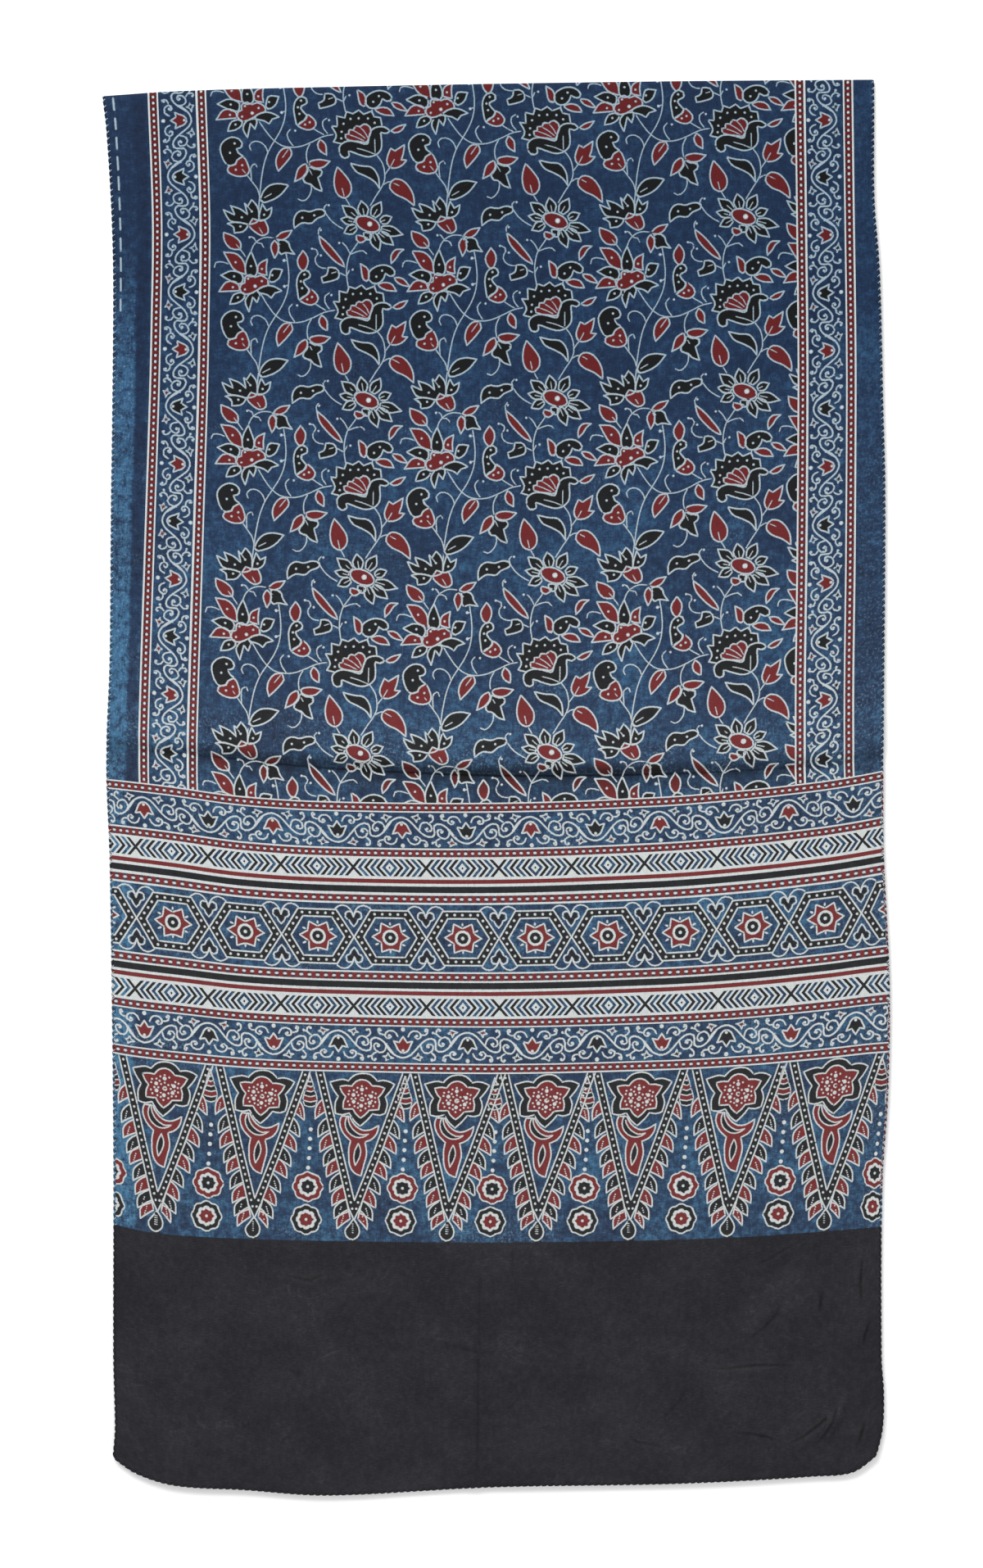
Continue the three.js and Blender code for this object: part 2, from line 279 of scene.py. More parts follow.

# Stripes: kind, where the stripe starts and ends, its centre line, and the pitch and start of what repeats on
# it. A crease, for its painted shade, is kept in the same way, because it lies where no stripe does.
DOTTED, CHEVRONS, RED_LINE, BLACK_LINE, CREASE = 1, 2, 3, 4, 5
STRIPES_ALONG = [
    (DOTTED, 0.0, 7.6, 3.9, 4.69, 0),
    (DOTTED, 34.9, 42.8, 39.1, 4.69, 2),
    (DOTTED, 473.1, 481.0, 476.9, 4.69, 1),
    (DOTTED, 508.4, 516.0, 512.1, 4.69, 3),
]
STRIPES_ACROSS = [
    (DOTTED, 520.9, 528.1, 524.5, 5.24, 0),
    (DOTTED, 554.0, 561.8, 557.8, 5.0, 1),
    (CHEVRONS, 561.8, 575.1, 568.4, 52.5, 177.9 - 26.25),
    (RED_LINE, 575.1, 580.8, 578.2, 1, 0),
    (BLACK_LINE, 580.8, 587.4, 584.1, 1, 0),
    (DOTTED, 587.4, 595.0, 591.0, 5.93, 0),
    (DOTTED, 643.9, 650.7, 647.7, 5.9, 2),
    (BLACK_LINE, 650.7, 657.3, 654.0, 1, 0),
    (RED_LINE, 657.3, 662.2, 659.7, 1, 0),
    (CHEVRONS, 662.2, 676.9, 669.7, 52.5, 174.9 - 26.25),
    (DOTTED, 676.9, 684.1, 680.5, 5.3, 1),
    (DOTTED, 710.5, 717.8, 714.1, 5.3, 2),
]
DOT_PITCH = 4.9
CHEVRON_PITCH = 53.04

# What is carved on the printing blocks. A shape is a row of places "x,y", and ! marks a sharp one. Red, black
# and bare shapes have a white outline, and every line, vein and dot stays white. Widths are half widths, and
# FAR stands for a place with no stroke or shape near it.
FAR = 50.0
CHUNK_POINTS = 5
OUTLINE = 0.56
STEM = 0.43
VEIN = 0.36
DOT = 0.85


def places(shape):
    """The points of a shape, and which of them are sharp."""
    if not isinstance(shape, str):
        return shape
    words = shape.split()
    sharp = np.array([word.endswith("!") for word in words])
    return np.array([[float(v) for v in word.rstrip("!").split(",")] for word in words]), sharp


def curve(shape, closed, step=0.7):
    """A smooth line through the places of a shape, with a corner at each sharp one."""
    points, sharp = places(shape)
    count = len(points)
    if count < 2:
        return points
    following = np.roll(points, -1, 0) - points
    lengths = np.maximum(np.hypot(*following.T), 1e-6)
    directions = following / lengths[:, None]
    spans = count if closed else count - 1
    line = []
    for k in range(spans):
        a, b = points[k], points[(k + 1) % count]
        here = directions[k]
        before, after = directions[k - 1], directions[(k + 1) % count]
        first = sharp[k] or (not closed and k == 0)
        last = sharp[(k + 1) % count] or (not closed and k == spans - 1)
        weight_in = lengths[k] / (lengths[k] + lengths[k - 1])
        weight_out = lengths[k] / (lengths[k] + lengths[(k + 1) % count])
        leave = here if first else here * (1 - weight_in) + before * weight_in
        arrive = here if last else here * (1 - weight_out) + after * weight_out
        steps = max(2, math.ceil(lengths[k] / step))
        t = (np.arange(steps) / steps)[:, None]
        line.append(
            a * (1 + 2 * t) * (1 - t) ** 2 + b * t * t * (3 - 2 * t)
            + lengths[k] * (leave * t * (1 - t) ** 2 + arrive * t * t * (t - 1))
        )
    line.append(points[:1] if closed else points[-1:])
    return np.concatenate(line)


def chunks_of(line, longest=6.0, most_turn=0.75, corner=0.6, overlap=1.1):
    """Cuts a line into short pieces that hardly turn and that lap over each other."""
    if len(line) == 1:
        return [np.repeat(line, CHUNK_POINTS, 0)]
    steps = np.diff(line, axis=0)
    lengths = np.hypot(*steps.T)
    headings = np.unwrap(np.arctan2(steps[:, 1], steps[:, 0]))
    run = np.concatenate([[0], np.cumsum(lengths)])
    cuts, bends, start = [0], [True], 0
    for k in range(1, len(steps)):
        turned = abs(headings[k] - headings[start]) > most_turn
        bent = abs(headings[k] - headings[k - 1]) > corner
        if turned or bent or run[k] - run[start] > longest:
            cuts.append(k)
            bends.append(bent)
            start = k
    cuts.append(len(steps))
    bends.append(True)
    made = []
    for k in range(len(cuts) - 1):
        first, last = run[cuts[k]], run[cuts[k + 1]]
        if not bends[k]:
            first = max(first - overlap, run[cuts[k - 1]])
        if not bends[k + 1]:
            last = min(last + overlap, run[cuts[k + 2]])
        at = np.linspace(first, last, CHUNK_POINTS)
        made.append(np.stack([np.interp(at, run, line[:, axis]) for axis in (0, 1)], -1))
    return made


class Block:
    """A carved printing block: white strokes in short pieces, and the shapes that take a dye."""

    def __init__(self, entries):
        self.chunks, self.widths, self.fills = [], [], []
        for kind, shape, *width in entries:
            if kind == "dots":
                lines = [point[None] for point in places(shape)[0]]
            else:
                lines = [curve(shape, kind in ("red", "black", "bare"))]
            if kind in ("red", "black", "bare"):
                self.fills.append((kind, lines[0]))
            default = {"line": STEM, "vein": VEIN, "dots": DOT}.get(kind, OUTLINE)
            half = width[0] if width else default
            if half == 0:
                continue
            for line in lines:
                pieces = chunks_of(line)
                self.chunks += pieces
                self.widths += [half] * len(pieces)
        self.chunks = np.array(self.chunks)
        self.widths = np.array(self.widths)


class Cloth:
    """The flat cloth as columns and rows, and what has been printed on it."""

    def __init__(self, columns, rows):
        self.columns, self.rows = columns, rows
        self.red = np.full((len(rows), len(columns)), FAR)
        self.black = np.full((len(rows), len(columns)), FAR)
        self.chunks, self.widths, self.windows = [], [], []

    def window(self, region):
        left, right, top, bottom = region
        columns = np.searchsorted(self.columns, [left - 0.01, right + 0.01])
        rows = np.searchsorted(self.rows, [top - 0.01, bottom + 0.01])
        return columns[0], columns[1] - 1, rows[0], rows[1] - 1

    def press(self, block, region, turn, at, swap=False):
        """Prints a block. Its axes are turned, its origin goes to a place, and its dyes may be swapped."""
        left, right, top, bottom = self.window(region)
        turn = np.array(turn, float)
        self.chunks.append(block.chunks @ turn.T + at)
        self.widths.append(block.widths)
        self.windows.append(np.tile((left, right, top, bottom), (len(block.widths), 1)))
        for kind, shape in block.fills:
            line = shape @ turn.T + at
            low = line.min(0) - 3
            high = line.max(0) + 3
            j0 = max(np.searchsorted(self.columns, low[0]), left)
            j1 = min(np.searchsorted(self.columns, high[0]), right + 1)
            i0 = max(np.searchsorted(self.rows, low[1]), top)
            i1 = min(np.searchsorted(self.rows, high[1]), bottom + 1)
            if j0 >= j1 or i0 >= i1:
                continue
            away = distance_inside(line, self.columns[None, j0:j1], self.rows[i0:i1, None])
            red, black = self.red[i0:i1, j0:j1], self.black[i0:i1, j0:j1]
            if swap and kind != "bare":
                kind = "black" if kind == "red" else "red"
            red[:] = np.minimum(red, away) if kind == "red" else np.maximum(red, -away)
            black[:] = np.minimum(black, away) if kind == "black" else np.maximum(black, -away)


def distance_inside(line, x, y):
    """Distance to a closed line, below 0 inside it."""
    a, b = line[:-1], line[1:]
    px, py = x[..., None] - a[:, 0], y[..., None] - a[:, 1]
    ex, ey = (b - a).T
    t = np.clip((px * ex + py * ey) / np.maximum(ex * ex + ey * ey, 1e-9), 0, 1)
    away = np.sqrt(((px - t * ex) ** 2 + (py - t * ey) ** 2).min(-1))
    crosses = (py >= 0) != (py - ey >= 0)
    side = px < ex * np.divide(py, ey, out=np.zeros_like(py + ey), where=np.abs(ey) > 1e-9)
    inside = (crosses & side).sum(-1) % 2 == 1
    return np.where(inside, -away, away)


# So many pieces of stroke are kept for each face. More never come close to one face.
SLOTS = 5
BATCH = 60000


def strokes_by_face(cloth):
    """The nearest pieces of stroke for each face: the way to them from each corner, and their half widths."""
    columns, rows = cloth.columns, cloth.rows
    across, down = len(columns) - 1, len(rows) - 1
    chunks = np.concatenate(cloth.chunks)
    widths = np.concatenate(cloth.widths)
    windows = np.concatenate(cloth.windows)
    half_face = 0.55 * max(np.diff(columns).max(), 2.0)
    pad = (widths + half_face + 0.3)[:, None]
    low = chunks.min(1) - pad
    high = chunks.max(1) + pad
    j0 = np.maximum(np.searchsorted(columns, low[:, 0]) - 1, windows[:, 0])
    j1 = np.minimum(np.searchsorted(columns, high[:, 0]), windows[:, 1])
    i0 = np.maximum(np.searchsorted(rows, low[:, 1]) - 1, windows[:, 2])
    i1 = np.minimum(np.searchsorted(rows, high[:, 1]), windows[:, 3])
    wide, tall = np.maximum(j1 - j0, 0), np.maximum(i1 - i0, 0)
    count = wide * tall
    owner = np.repeat(np.arange(len(count)), count)
    local = np.arange(count.sum()) - np.repeat(np.cumsum(count) - count, count)
    i = i0[owner] + local // np.maximum(wide[owner], 1)
    j = j0[owner] + local % np.maximum(wide[owner], 1)
    ways = np.zeros((len(owner), 4, 2), np.float32)
    scores = np.zeros(len(owner), np.float32)
    for first in range(0, len(owner), BATCH):
        part = slice(first, first + BATCH)
        x0, x1 = columns[j[part]], columns[j[part] + 1]
        y0, y1 = rows[i[part]], rows[i[part] + 1]
        px = np.stack([x0, x0, x1, x1, (x0 + x1) / 2], 1)
        py = np.stack([y0, y1, y1, y0, (y0 + y1) / 2], 1)
        piece = chunks[owner[part]]
        best = np.full(px.shape, 1e9)
        way = np.zeros(px.shape + (2,))
        for k in range(CHUNK_POINTS - 1):
            a, b = piece[:, k], piece[:, k + 1]
            ex, ey = (b - a).T[:, :, None]
            qx, qy = px - a[:, :1], py - a[:, 1:]
            t = np.clip((qx * ex + qy * ey) / np.maximum(ex * ex + ey * ey, 1e-9), 0, 1)
            wx, wy = t * ex - qx, t * ey - qy
            away = wx * wx + wy * wy
            nearer = away < best
            best = np.where(nearer, away, best)
            way[nearer] = np.stack([wx, wy], -1)[nearer]
        ways[part] = way[:, :4]
        scores[part] = np.sqrt(best.min(1)) - widths[owner[part]]
    near = scores < half_face
    face = (i * across + j)[near]
    order = np.lexsort((scores[near], face))
    face = face[order]
    rank = np.arange(len(face)) - np.searchsorted(face, face)
    kept = rank < SLOTS
    slots = np.zeros((SLOTS, across * down, 4, 3), np.float32)
    slots[..., 0] = FAR
    chosen = np.flatnonzero(near)[order][kept]
    slots[rank[kept], face[kept], :, :2] = ways[chosen]
    slots[rank[kept], face[kept], :, 2] = widths[owner[chosen]][:, None]
    return slots


def petal(base, tip, width):
    """A pointed petal from its base to its tip."""
    base, tip = np.array(base, float), np.array(tip, float)
    run = tip - base
    side = np.array([-run[1], run[0]]) / np.hypot(*run) * width / 2
    points = [base - side * 0.5, base + run * 0.4 - side, tip, base + run * 0.4 + side, base + side * 0.5]
    return np.array(points), np.array([True, False, True, False, True])


def ellipse(centre, wide, tall, tilt=0.0, count=12):
    turn = np.arange(count) * 2 * np.pi / count
    x, y = wide * np.cos(turn), tall * np.sin(turn)
    c, s = math.cos(math.radians(tilt)), math.sin(math.radians(tilt))
    return np.stack([centre[0] + x * c - y * s, centre[1] + x * s + y * c], -1), np.zeros(count, bool)


def open_shape(points):
    points = np.array(points, float)
    return points, np.zeros(len(points), bool)


# The field: one repeat of its vines, flowers and leaves.
FAN_FLOWER = [
    ("line", "39,-1 38,10 38,16"),
    ("black", "12.3,8.8! 20.5,12.5! 17.6,5.7! 26,9 29.8,12.3! 27.9,4! 30,6.3! 33,1.4! 37,6 38.3,12 "
              "38,16.5 31,19.5 24,18 17,17 13.5,11.5"),
    ("black", "38.5,16 38.8,11 40.8,4.5! 43.7,9.5! 47.8,7.2! 46.5,13 43,16 40.5,16.5"),
    ("black", "30,20 24,18.2 19,18 15,19! 19.5,21.5 20,25.8! 27,24.5"),
    ("red", "31,20 33.6,15.2! 38.8,17.1! 42.3,16.5! 44.6,21.3 44.6,25.8 40,27.8 36.2,25.8"),
    ("dots", "25.6,14.3 33,10 42,12.5 24.5,21"),
    ("vein", "30,6.3 33,10"),
    ("vein", "41,26.5 38,21.8"),
    ("red", "12,25.5! 12.5,31 17.5,37.5 24.5,38! 24.8,33.5 20,28.5"),
    ("vein", "24.5,38 21,34"),
    ("line", "24,37.5 28.5,43.5"),
]
LOTUS = [
    ("line", "32.3,39.5 34,35 36,32.5 43,29 49,29.5"),
    ("line", "36,33 34.5,29.5 32,28.5"),
    ("line", "36,33 40,33.5 41.5,36.5"),
    ("line", "16,49 12,47.5 6.5,48 5.5,51.5"),
    ("line", "40,71 45,79 51,86.5 57,90.5 62,91.5 70,91 78,88 88,83.5 94,82.5"),
    ("red", "12.3,40.2! 22,41.5 27,47 28.5,56.5! 20,53 16,47"),
    ("red", "37.5,55 38,49 44.3,45! 43.5,52 44,57!"),
    ("black", "32.3,39.5! 35,46 37,53 36,57 29,57 28.2,54 28.8,47"),
    ("black", "45.5,60! 48,52.5 55.4,52.8! 52,60 47,62"),
    ("black", "10.2,57.3! 19,53.8 26.5,57.5 25,63.5 18,61.5"),
    ("red", "9,69.5! 15,62 22,62.5 24,65 24,68.5!"),
    ("black", "37.5,69 44,64.5 49,65 55.2,68.3! 50,70! 47.5,73.5! 44,71 38,69.5"),
    ("black", "20,71.5 28,71 28,73 23,77.5 17.2,78.6! 18.5,74"),
    ("black", "31.7,70.7 38.8,69.8 37.1,77.2! 33.9,73! 31.3,84! 28.4,75.6"),
    ("red", "24.5,67! 25,64 28,62.5! 28,58.5 31.5,56.5 35.5,58.5! 40,57 44.5,60! 45.5,64 41,65.5 36,68.5 "
            "30,71 26,70.5"),
    ("dots", "21,47.5 32.3,50.3 40.3,52.3 48,56.8 20,58 19.2,66 30.3,59.5 40.3,61.2 28,67.5 23,73.5 "
             "31.2,29"),
    ("dots", "35.5,65", 1.3),
]
TRUMPET_FLOWERS = [
    ("line", "58,41 59.5,50 60.2,60 59,70 55,80 51,86.5 46,95 43,103 41,112 39.5,122 38.8,128"),
    ("line", "46,95.5 44.5,91 40,87 35,87 32.5,90.5 34,94"),
    ("line", "59,46 56.5,46"),
    ("line", "60,64 57,65"),
    ("red", "50.5,30 54,26 62.3,24! 59,29 55,31"),
    ("red", "49.5,31.5 47,35 49.5,44.5! 52,40 52.5,35"),
    ("black", "52,32 58,31.5 60,33 60.5,36 64.3,41.5! 57,40.5 54.5,41.5! 52.5,40 52.5,34"),
    ("line", "49,29.5 51,31.5 53.5,34.5"),
    ("dots", "56.5,46 57,65", 1.1),
    ("line", "77,89 74.5,94 74,99 75,104"),
    ("red", "76,103 81,101 91.2,102.2! 86,106.5 80,107 76,105"),
    ("red", "73.5,104 69,106 64.8,116.8! 71,113.5 74.5,107.5"),
    ("black", "75.5,106 80,108 84.5,108 85,111.5 82,114! 85,124! 79,121.5 76.5,118.5 73,118 71,115.5 "
              "74.5,110"),
    ("line", "76.8,118.5 77,123 74.5,128.5 70.5,131 67.3,129.5"),
    ("vein", "75.5,107.5 78,112"),
]
BUDS_AND_LEAVES = [
    ("black", "15.5,103.5 12,97 11.3,90 14,86 19.5,83.2 25,84.5 27.5,88.5 26.5,91 23,92! 24,95 27.5,97.5 "
              "23,100.5 22,103 17,104.5"),
    ("red", "27.5,98 31,104 31.8,109 30,111.5 26,112.5 19,111 15.8,108.5 16.5,105.5 22,103.5! 23,100.5!"),
    ("dots", "21.8,88 18.2,95 22,107.5 26.8,104.2"),
    ("vein", "26.5,107 29,110"),
    ("line", "30,111.5 34,117 37.5,122 39,127.5"),
    ("line", "33.5,116 33,110 33.5,105 36.5,103.5 37.8,106.5"),
    ("black", "39.5,129! 41,125 46,119.5 53,118 60.3,119.3! 54,126.5 48,130 40,131"),
    ("vein", "42,128.5 47.5,125.5"),
    ("line", "87,11.5 91,17 96,21 100.5,23.5"),
    ("line", "87,11 86,7.5 88,5.5"),
    ("black", "64,22.5! 63.8,16 66,11.5 70,9.5 75.5,10.5 81,8.8 87,10.5 87,12 80,16 77,19 70,18.5"),
    ("dots", "70,14.8 78.8,13.2 89.5,6"),
    ("line", "82,28 81.5,24.5 83,22.3"),
    ("red", "82,28! 88,33 95,41 100,48 101,51! 97,49 90,43 83.5,34.5"),
    ("line", "77,37.5 80,38 81.5,41.5 79.5,44 80,48.5 84,51.5 88,52"),
    ("line", "97,55 102,57.5"),
    ("black", "89,51.5! 94,51.5 97,55 96.5,59 92,61 85,62.5! 84,58.5! 88,56.5"),
    ("vein", "95,54.5 91.5,55.5"),
    ("dots", "83.5,24 77,37.5 83.5,42.5"),
    ("line", "111,33 107.5,38 105,41.5 103.5,46 102.5,52 102.5,57 103.5,64 104,66.5"),
    ("line", "105,41.5 102,36 99,33"),
    ("line", "105,42 110,40 115,39.5 117.5,42"),
    ("line", "102.5,57.5 104.5,53.5"),
    ("dots", "97,33.5 107,53"),
    ("line", "79.5,77.5 84,80.5 88,82.8"),
    ("red", "70.3,38.8! 74,44 74,48.5 70.5,54 67.5,51 66.2,46.5"),
    ("black", "68.5,75 66.5,68 66,61 68,55.5 72,53 75.5,55 75.5,58.5 72,60! 71,61 73,65 75.5,67.5 74,71 "
              "70,73"),
    ("red", "75.5,67 80,70 82,73.5 80.5,77 76.5,78.7 72,77.5 68.5,75.3 72,72.5! 74.5,70!"),
    ("dots", "71.5,56.3 69,61.3 70,66.3 73.8,74.5 77.3,72.8"),
    ("line", "65,91 61.5,86 60.5,81 63,78"),
    ("dots", "66.5,79"),
    ("red", "62,92! 63.5,96 60,101.5 53,109! 51.5,103 53,97 58,92"),
    ("vein", "61,93 56.5,99"),
    ("red", "84.5,86! 88,89 88.8,97.5! 84,94.5 82.5,90"),
    ("line", "102,129.5 105,134.5"),
    ("red", "96.5,106.3! 102,112.5 106.3,120 105.5,126 101.5,129.2 96.5,127 94,120.5 94.5,112"),
    ("vein", "101,128 99.5,121.5"),
    ("black", "106.3,104! 114,106 121.5,107 126,113 127,122.5! 123.5,117.5 117,113.5 110,110"),
    ("line", "125,97.5 129.5,104 131,110.5 131,116 129,121 125,127 120,135"),
    ("line", "131.3,112.5 135,107.5"),
    ("red", "135,107.5 132.8,103 134,98 136,93.5! 139,95.5! 146.2,91! 145,98 143.5,102! 147.5,102.3! "
            "144,106 139,108"),
    ("vein", "135.5,107 138.5,101.5"),
    ("line", "130,120 133,118 136,117.8"),
    ("red", "135,119 138,116 143,116.5 149,122 152,129 152.3,135.5! 146,130.5 138,126.5 134.5,122"),
    ("vein", "137,118.5 141.5,121"),
    ("red", "144.5,38.8! 138,39 135,43.5 135.3,48.8! 139,45 141,41.5"),
    ("line", "123.5,63.5 122.8,67"),
    ("red", "112.7,48.8! 118,52.5 119,58 118,61.5 115,60.5 113.5,55"),
    ("black", "119,60 119,55 123,51.5 129,49.8 135,51.5 138,55 137,57.8 134,58 131,56! 129.5,60 126,63 "
              "121.5,63"),
    ("red", "125.3,64! 130,62.5 136,64 139,69! 131,68 126.5,65.5"),
    ("dots", "128.5,54 124.3,58.3"),
    ("red", "137.5,59! 143,59.5 149,65.8! 143,64.5 139,62"),
]
DAISY = [
    *(("black", petal(base, tip, width)) for base, tip, width in [
        ((110, 15), (99.5, 6.3), 8), ((115.5, 14), (113.5, 3), 8), ((122, 14.5), (128, 4), 8),
        ((127.5, 18.5), (135.8, 15), 6.5), ((128, 23.5), (143.8, 28), 7.5), ((126, 26.5), (137, 35.5), 7.5),
        ((121.5, 27), (126.5, 39.8), 7.5), ((109.5, 22), (100.5, 26.5), 7), ((108, 18.5), (98, 16), 6),
    ]),
    *(("vein", open_shape(run)) for run in [
        [(110, 15), (105.5, 11)], [(115.5, 14), (114.5, 8)], [(122, 14.5), (125, 9.5)],
        [(127.5, 18.5), (131, 17)], [(128, 23.5), (135, 25.5)], [(126, 26.5), (131, 30.5)],
        [(121.5, 27), (124, 33)], [(109.5, 22), (105, 24.5)], [(108, 18.5), (103, 17.3)],
    ]),
    ("black", "115,26.5 121,27.5 119.5,31.5 116,31"),
    ("red", ellipse((118, 20), 9.3, 5.2, 22)),
    ("dots", "119.5,20", 1.9),
    ("red", "110,28 109.5,31 112,33.5 116,32 117.5,30! 113,28.5"),
]
CROWN_FLOWER = [
    ("line", "90.5,82 87,77 87,72 90,70"),
    ("black", "94.2,88! 96.5,84 93,76! 97.5,76.5! 97.2,68.5! 103,70! 104.5,65.3! 109,67! 113.5,64.3! "
              "117,67.5! 123,65.2! 124.5,69.5! 129.3,70.5! 130.5,77.5 126,90 112,92 100,90", 0),
    ("line", "100,89.5 94.2,88! 96.5,84 93,76! 97.5,76.5! 97.2,68.5! 103,70! 104.5,65.3! 109,67! "
             "113.5,64.3! 117,67.5! 123,65.2! 124.5,69.5! 129.3,70.5! 130.2,77", OUTLINE),
    ("black", "98.5,96 98.3,92 101,89 106,87.5 112,88.5 119,90 120.5,84 123,79 128,77.2 134,78.5 "
              "135.5,80.5 133,82.5 129.5,81.5 129.5,88 129,94 126,97.5 120,99.5 112,97.5 105,95.5 "
              "105.5,98.5 102.5,100.2 99.5,98.8"),
    ("red", "103.5,86! 103,82.8 105.6,82.4! 106,79.3 109.2,79.4! 110.8,76.3 114,77! 117.3,74.8 "
            "120.8,76.6 122,80.4 120.5,84.6 119,88.5 112,88 107,87.4"),
    ("vein", "119.5,85.5 117,80.5 114.3,77.6"),
    ("dots", "107.3,70.8 113.2,70.5 120,70.8 102,74.5 124.8,74.2 100.5,80.5 100,85.5 91.5,71.5"),
    ("vein", "118.4,86.6 113.5,82.4 109.4,79.9"),
    ("vein", "116.5,87.6 111,84.8 105.9,82.8"),
    ("vein", "111,93 118,95 125,98"),
    ("vein", "124.5,86 124.5,97"),
    ("red", "136.5,80.5! 141,77.5 147.5,75.8! 144,80.5 139,82"),
]
FIELD_REPEAT = (137.9, 128.3)
FIELD_START = (40.6, 80.7)

# The scroll of the borders. Its second half is the first one turned over, with its dyes exchanged.
SCROLL_HALF = 47.6
VINE = ("-13.6,-1 -10.6,3.5 -6.1,7.5 0,9.5 4.9,7.8 8.9,4 12.9,-0.5 16.4,-3.5 19.9,-4.8 23.4,-4 24.2,-1 "
        "23.9,3 26.4,4.8 29.9,4.3 33.9,1.5 36.9,-2 40.4,-6.5")
SPIRALS = [
    "12.9,-0.5 13.4,2 14.7,5 17.4,6 20.4,5 22.2,2.5 21.9,0 19.9,-0.8 17.9,-0.3 17.4,1.3",
    "20.9,5.5 23.2,7 23.7,10 22.4,11.3 20.9,11.3",
    "35.7,0.5 35.2,-1 34.4,-4 31.9,-6 28.9,-5.5 26.4,-3 26.4,0 28.4,0.8 30.4,-0.5 29.9,-1.5",
    "27.9,-5.8 24.9,-7.5 24.4,-10 26.4,-11.8 27.4,-11",
    "24.6,-8.2 22.2,-9",
]
STAR = (10.8, 9.3)
STAR_TIPS = [(-3.7, 0.5), (1.9, 2.4), (3.9, -0.7), (0.4, -3.3)]
C_SCROLLS = [
    "3.9,-6 5.4,-9 8.7,-10.3 11.9,-9.3 13.4,-6.8 12.4,-5 9.9,-4.5 8.7,-6 9.9,-7",
    "13.4,-7.2 16.4,-7.3 18.2,-9 17.9,-11.5 16.4,-11.5",
]
TULIP = "0,6 -3.5,4.2 -5,1 -6.9,-2.6! -2.9,-1.7! 0,-5.9! 2.9,-1.7! 7,-2.6! 5.2,1 3.7,4.2"


def corners(points):
    points = np.array(points, float)
    return points, np.ones(len(points), bool)


def mirrored(shape, flip=1):
    points, sharp = places(shape)
    return points * (-1, flip), sharp


def scroll_block():
    """Half a repeat of the scroll."""
    entries = [("line", VINE, 0.62)]
    entries += [("line", path, OUTLINE) for path in SPIRALS]
    entries += [("dots", "18.7,1.3 21.2,10.5 29.2,-1.2 22.2,-9 27.2,-10.8", 0.95)]
    star = []
    for k, tip in enumerate(STAR_TIPS):
        following = STAR_TIPS[(k + 1) % 4]
        star += [tip, ((tip[0] + following[0]) * 0.27, (tip[1] + following[1]) * 0.27)]
    star = corners(np.add(star, STAR))
    for side in (places, mirrored):
        entries += [("line", side(path), OUTLINE) for path in C_SCROLLS]
        entries += [("dots", side("10.2,-6.6 16.6,-10.3"), 0.95), ("black", side(star), 0.5)]
    entries += [("dots", "0,-11.2", 1.5), ("red", TULIP, 0.6), ("dots", "0,4.2", 1.05)]
    return Block(entries)


# The hexagon band.
ARCH = "13,-20.4 9.3,-22.9 5.2,-22.7 2.1,-20.1 0.2,-16.2"
CLUB_LINE = "0,-14.6! 1.2,-17.8 3.2,-18.8 5.4,-17.7 6.1,-15.4 5.2,-13.3 3.2,-12.6! 2.7,-10.8 0,-7.6!"
CLUB = ("0,-14.4! 1.3,-17 3.1,-17.7 4.8,-16.9 5.1,-15.2 4.2,-13.9 2.2,-13.6! 1.9,-11.4 0,-8.9! "
        "-1.9,-11.4 -2.2,-13.6! -4.2,-13.9 -5.1,-15.2 -4.8,-16.9 -3.1,-17.7 -1.3,-17")


def shifted(shape, x, sides=1, flip=1):
    points, sharp = places(shape)
    return points * (sides, flip) + (x, 0), sharp


def hexagon(long, half, tall):
    return corners([(-half, -tall), (half, -tall), (long, 0), (half, tall), (-half, tall), (-long, 0)])


def hexagon_block():
    """A hexagon with its star, and the two clubs beside it where it meets the next one."""
    star = []
    tips = [(-6.3, -10.5), (6.8, -10.3), (13.5, 0), (6.5, 10), (-6.3, 10.5), (-13, -0.5)]
    notches = [(0, -7.3), (8.3, -3.3), (7.8, 3.3), (0, 8.3), (-6.5, 3.8), (-7.3, -3.8)]
    for tip, notch in zip(tips, notches):
        star += [tip, notch]
    crossing = 26.1
    entries = [
        ("black", hexagon(crossing, 13.8, 19.7)),
        ("bare", hexagon(19.2, 10.4, 14.3)),
        ("red", corners(star)),
        ("black", ellipse((0, 0), 5.0, 5.0), 0.85),
        ("dots", "0,0", 1.25),
    ]
    for y in (-17, 17):
        entries.append(("dots", open_shape([(x, y) for x in (-10.9, -5.3, 0.3, 6, 11.4)]), 0.95))
    for x, y in [(14.9, 12.8), (17.7, 8.4), (20.5, 4.1)]:
        entries.append(("dots", open_shape([(x, y), (x, -y), (-x, y), (-x, -y)]), 0.95))
    entries.append(("dots", "23,0 -23,0", 0.9))
    for x, y in [(0, -11), (10.6, -5.5), (10.3, 5.8), (0, 11.0), (-10.3, 5.2), (-10.3, -5.8)]:
        entries.append(("line", open_shape([(x, y), (x * 0.88, y * 0.88)]), 0.72))
    for flip in (1, -1):
        entries.append(("black", shifted(CLUB, crossing, 1, flip), 0))
        for side in (1, -1):
            entries.append(("line", shifted(ARCH, crossing, side, flip), 0.52))
            entries.append(("line", shifted(CLUB_LINE, crossing, side, flip), 0.52))
    return Block(entries)


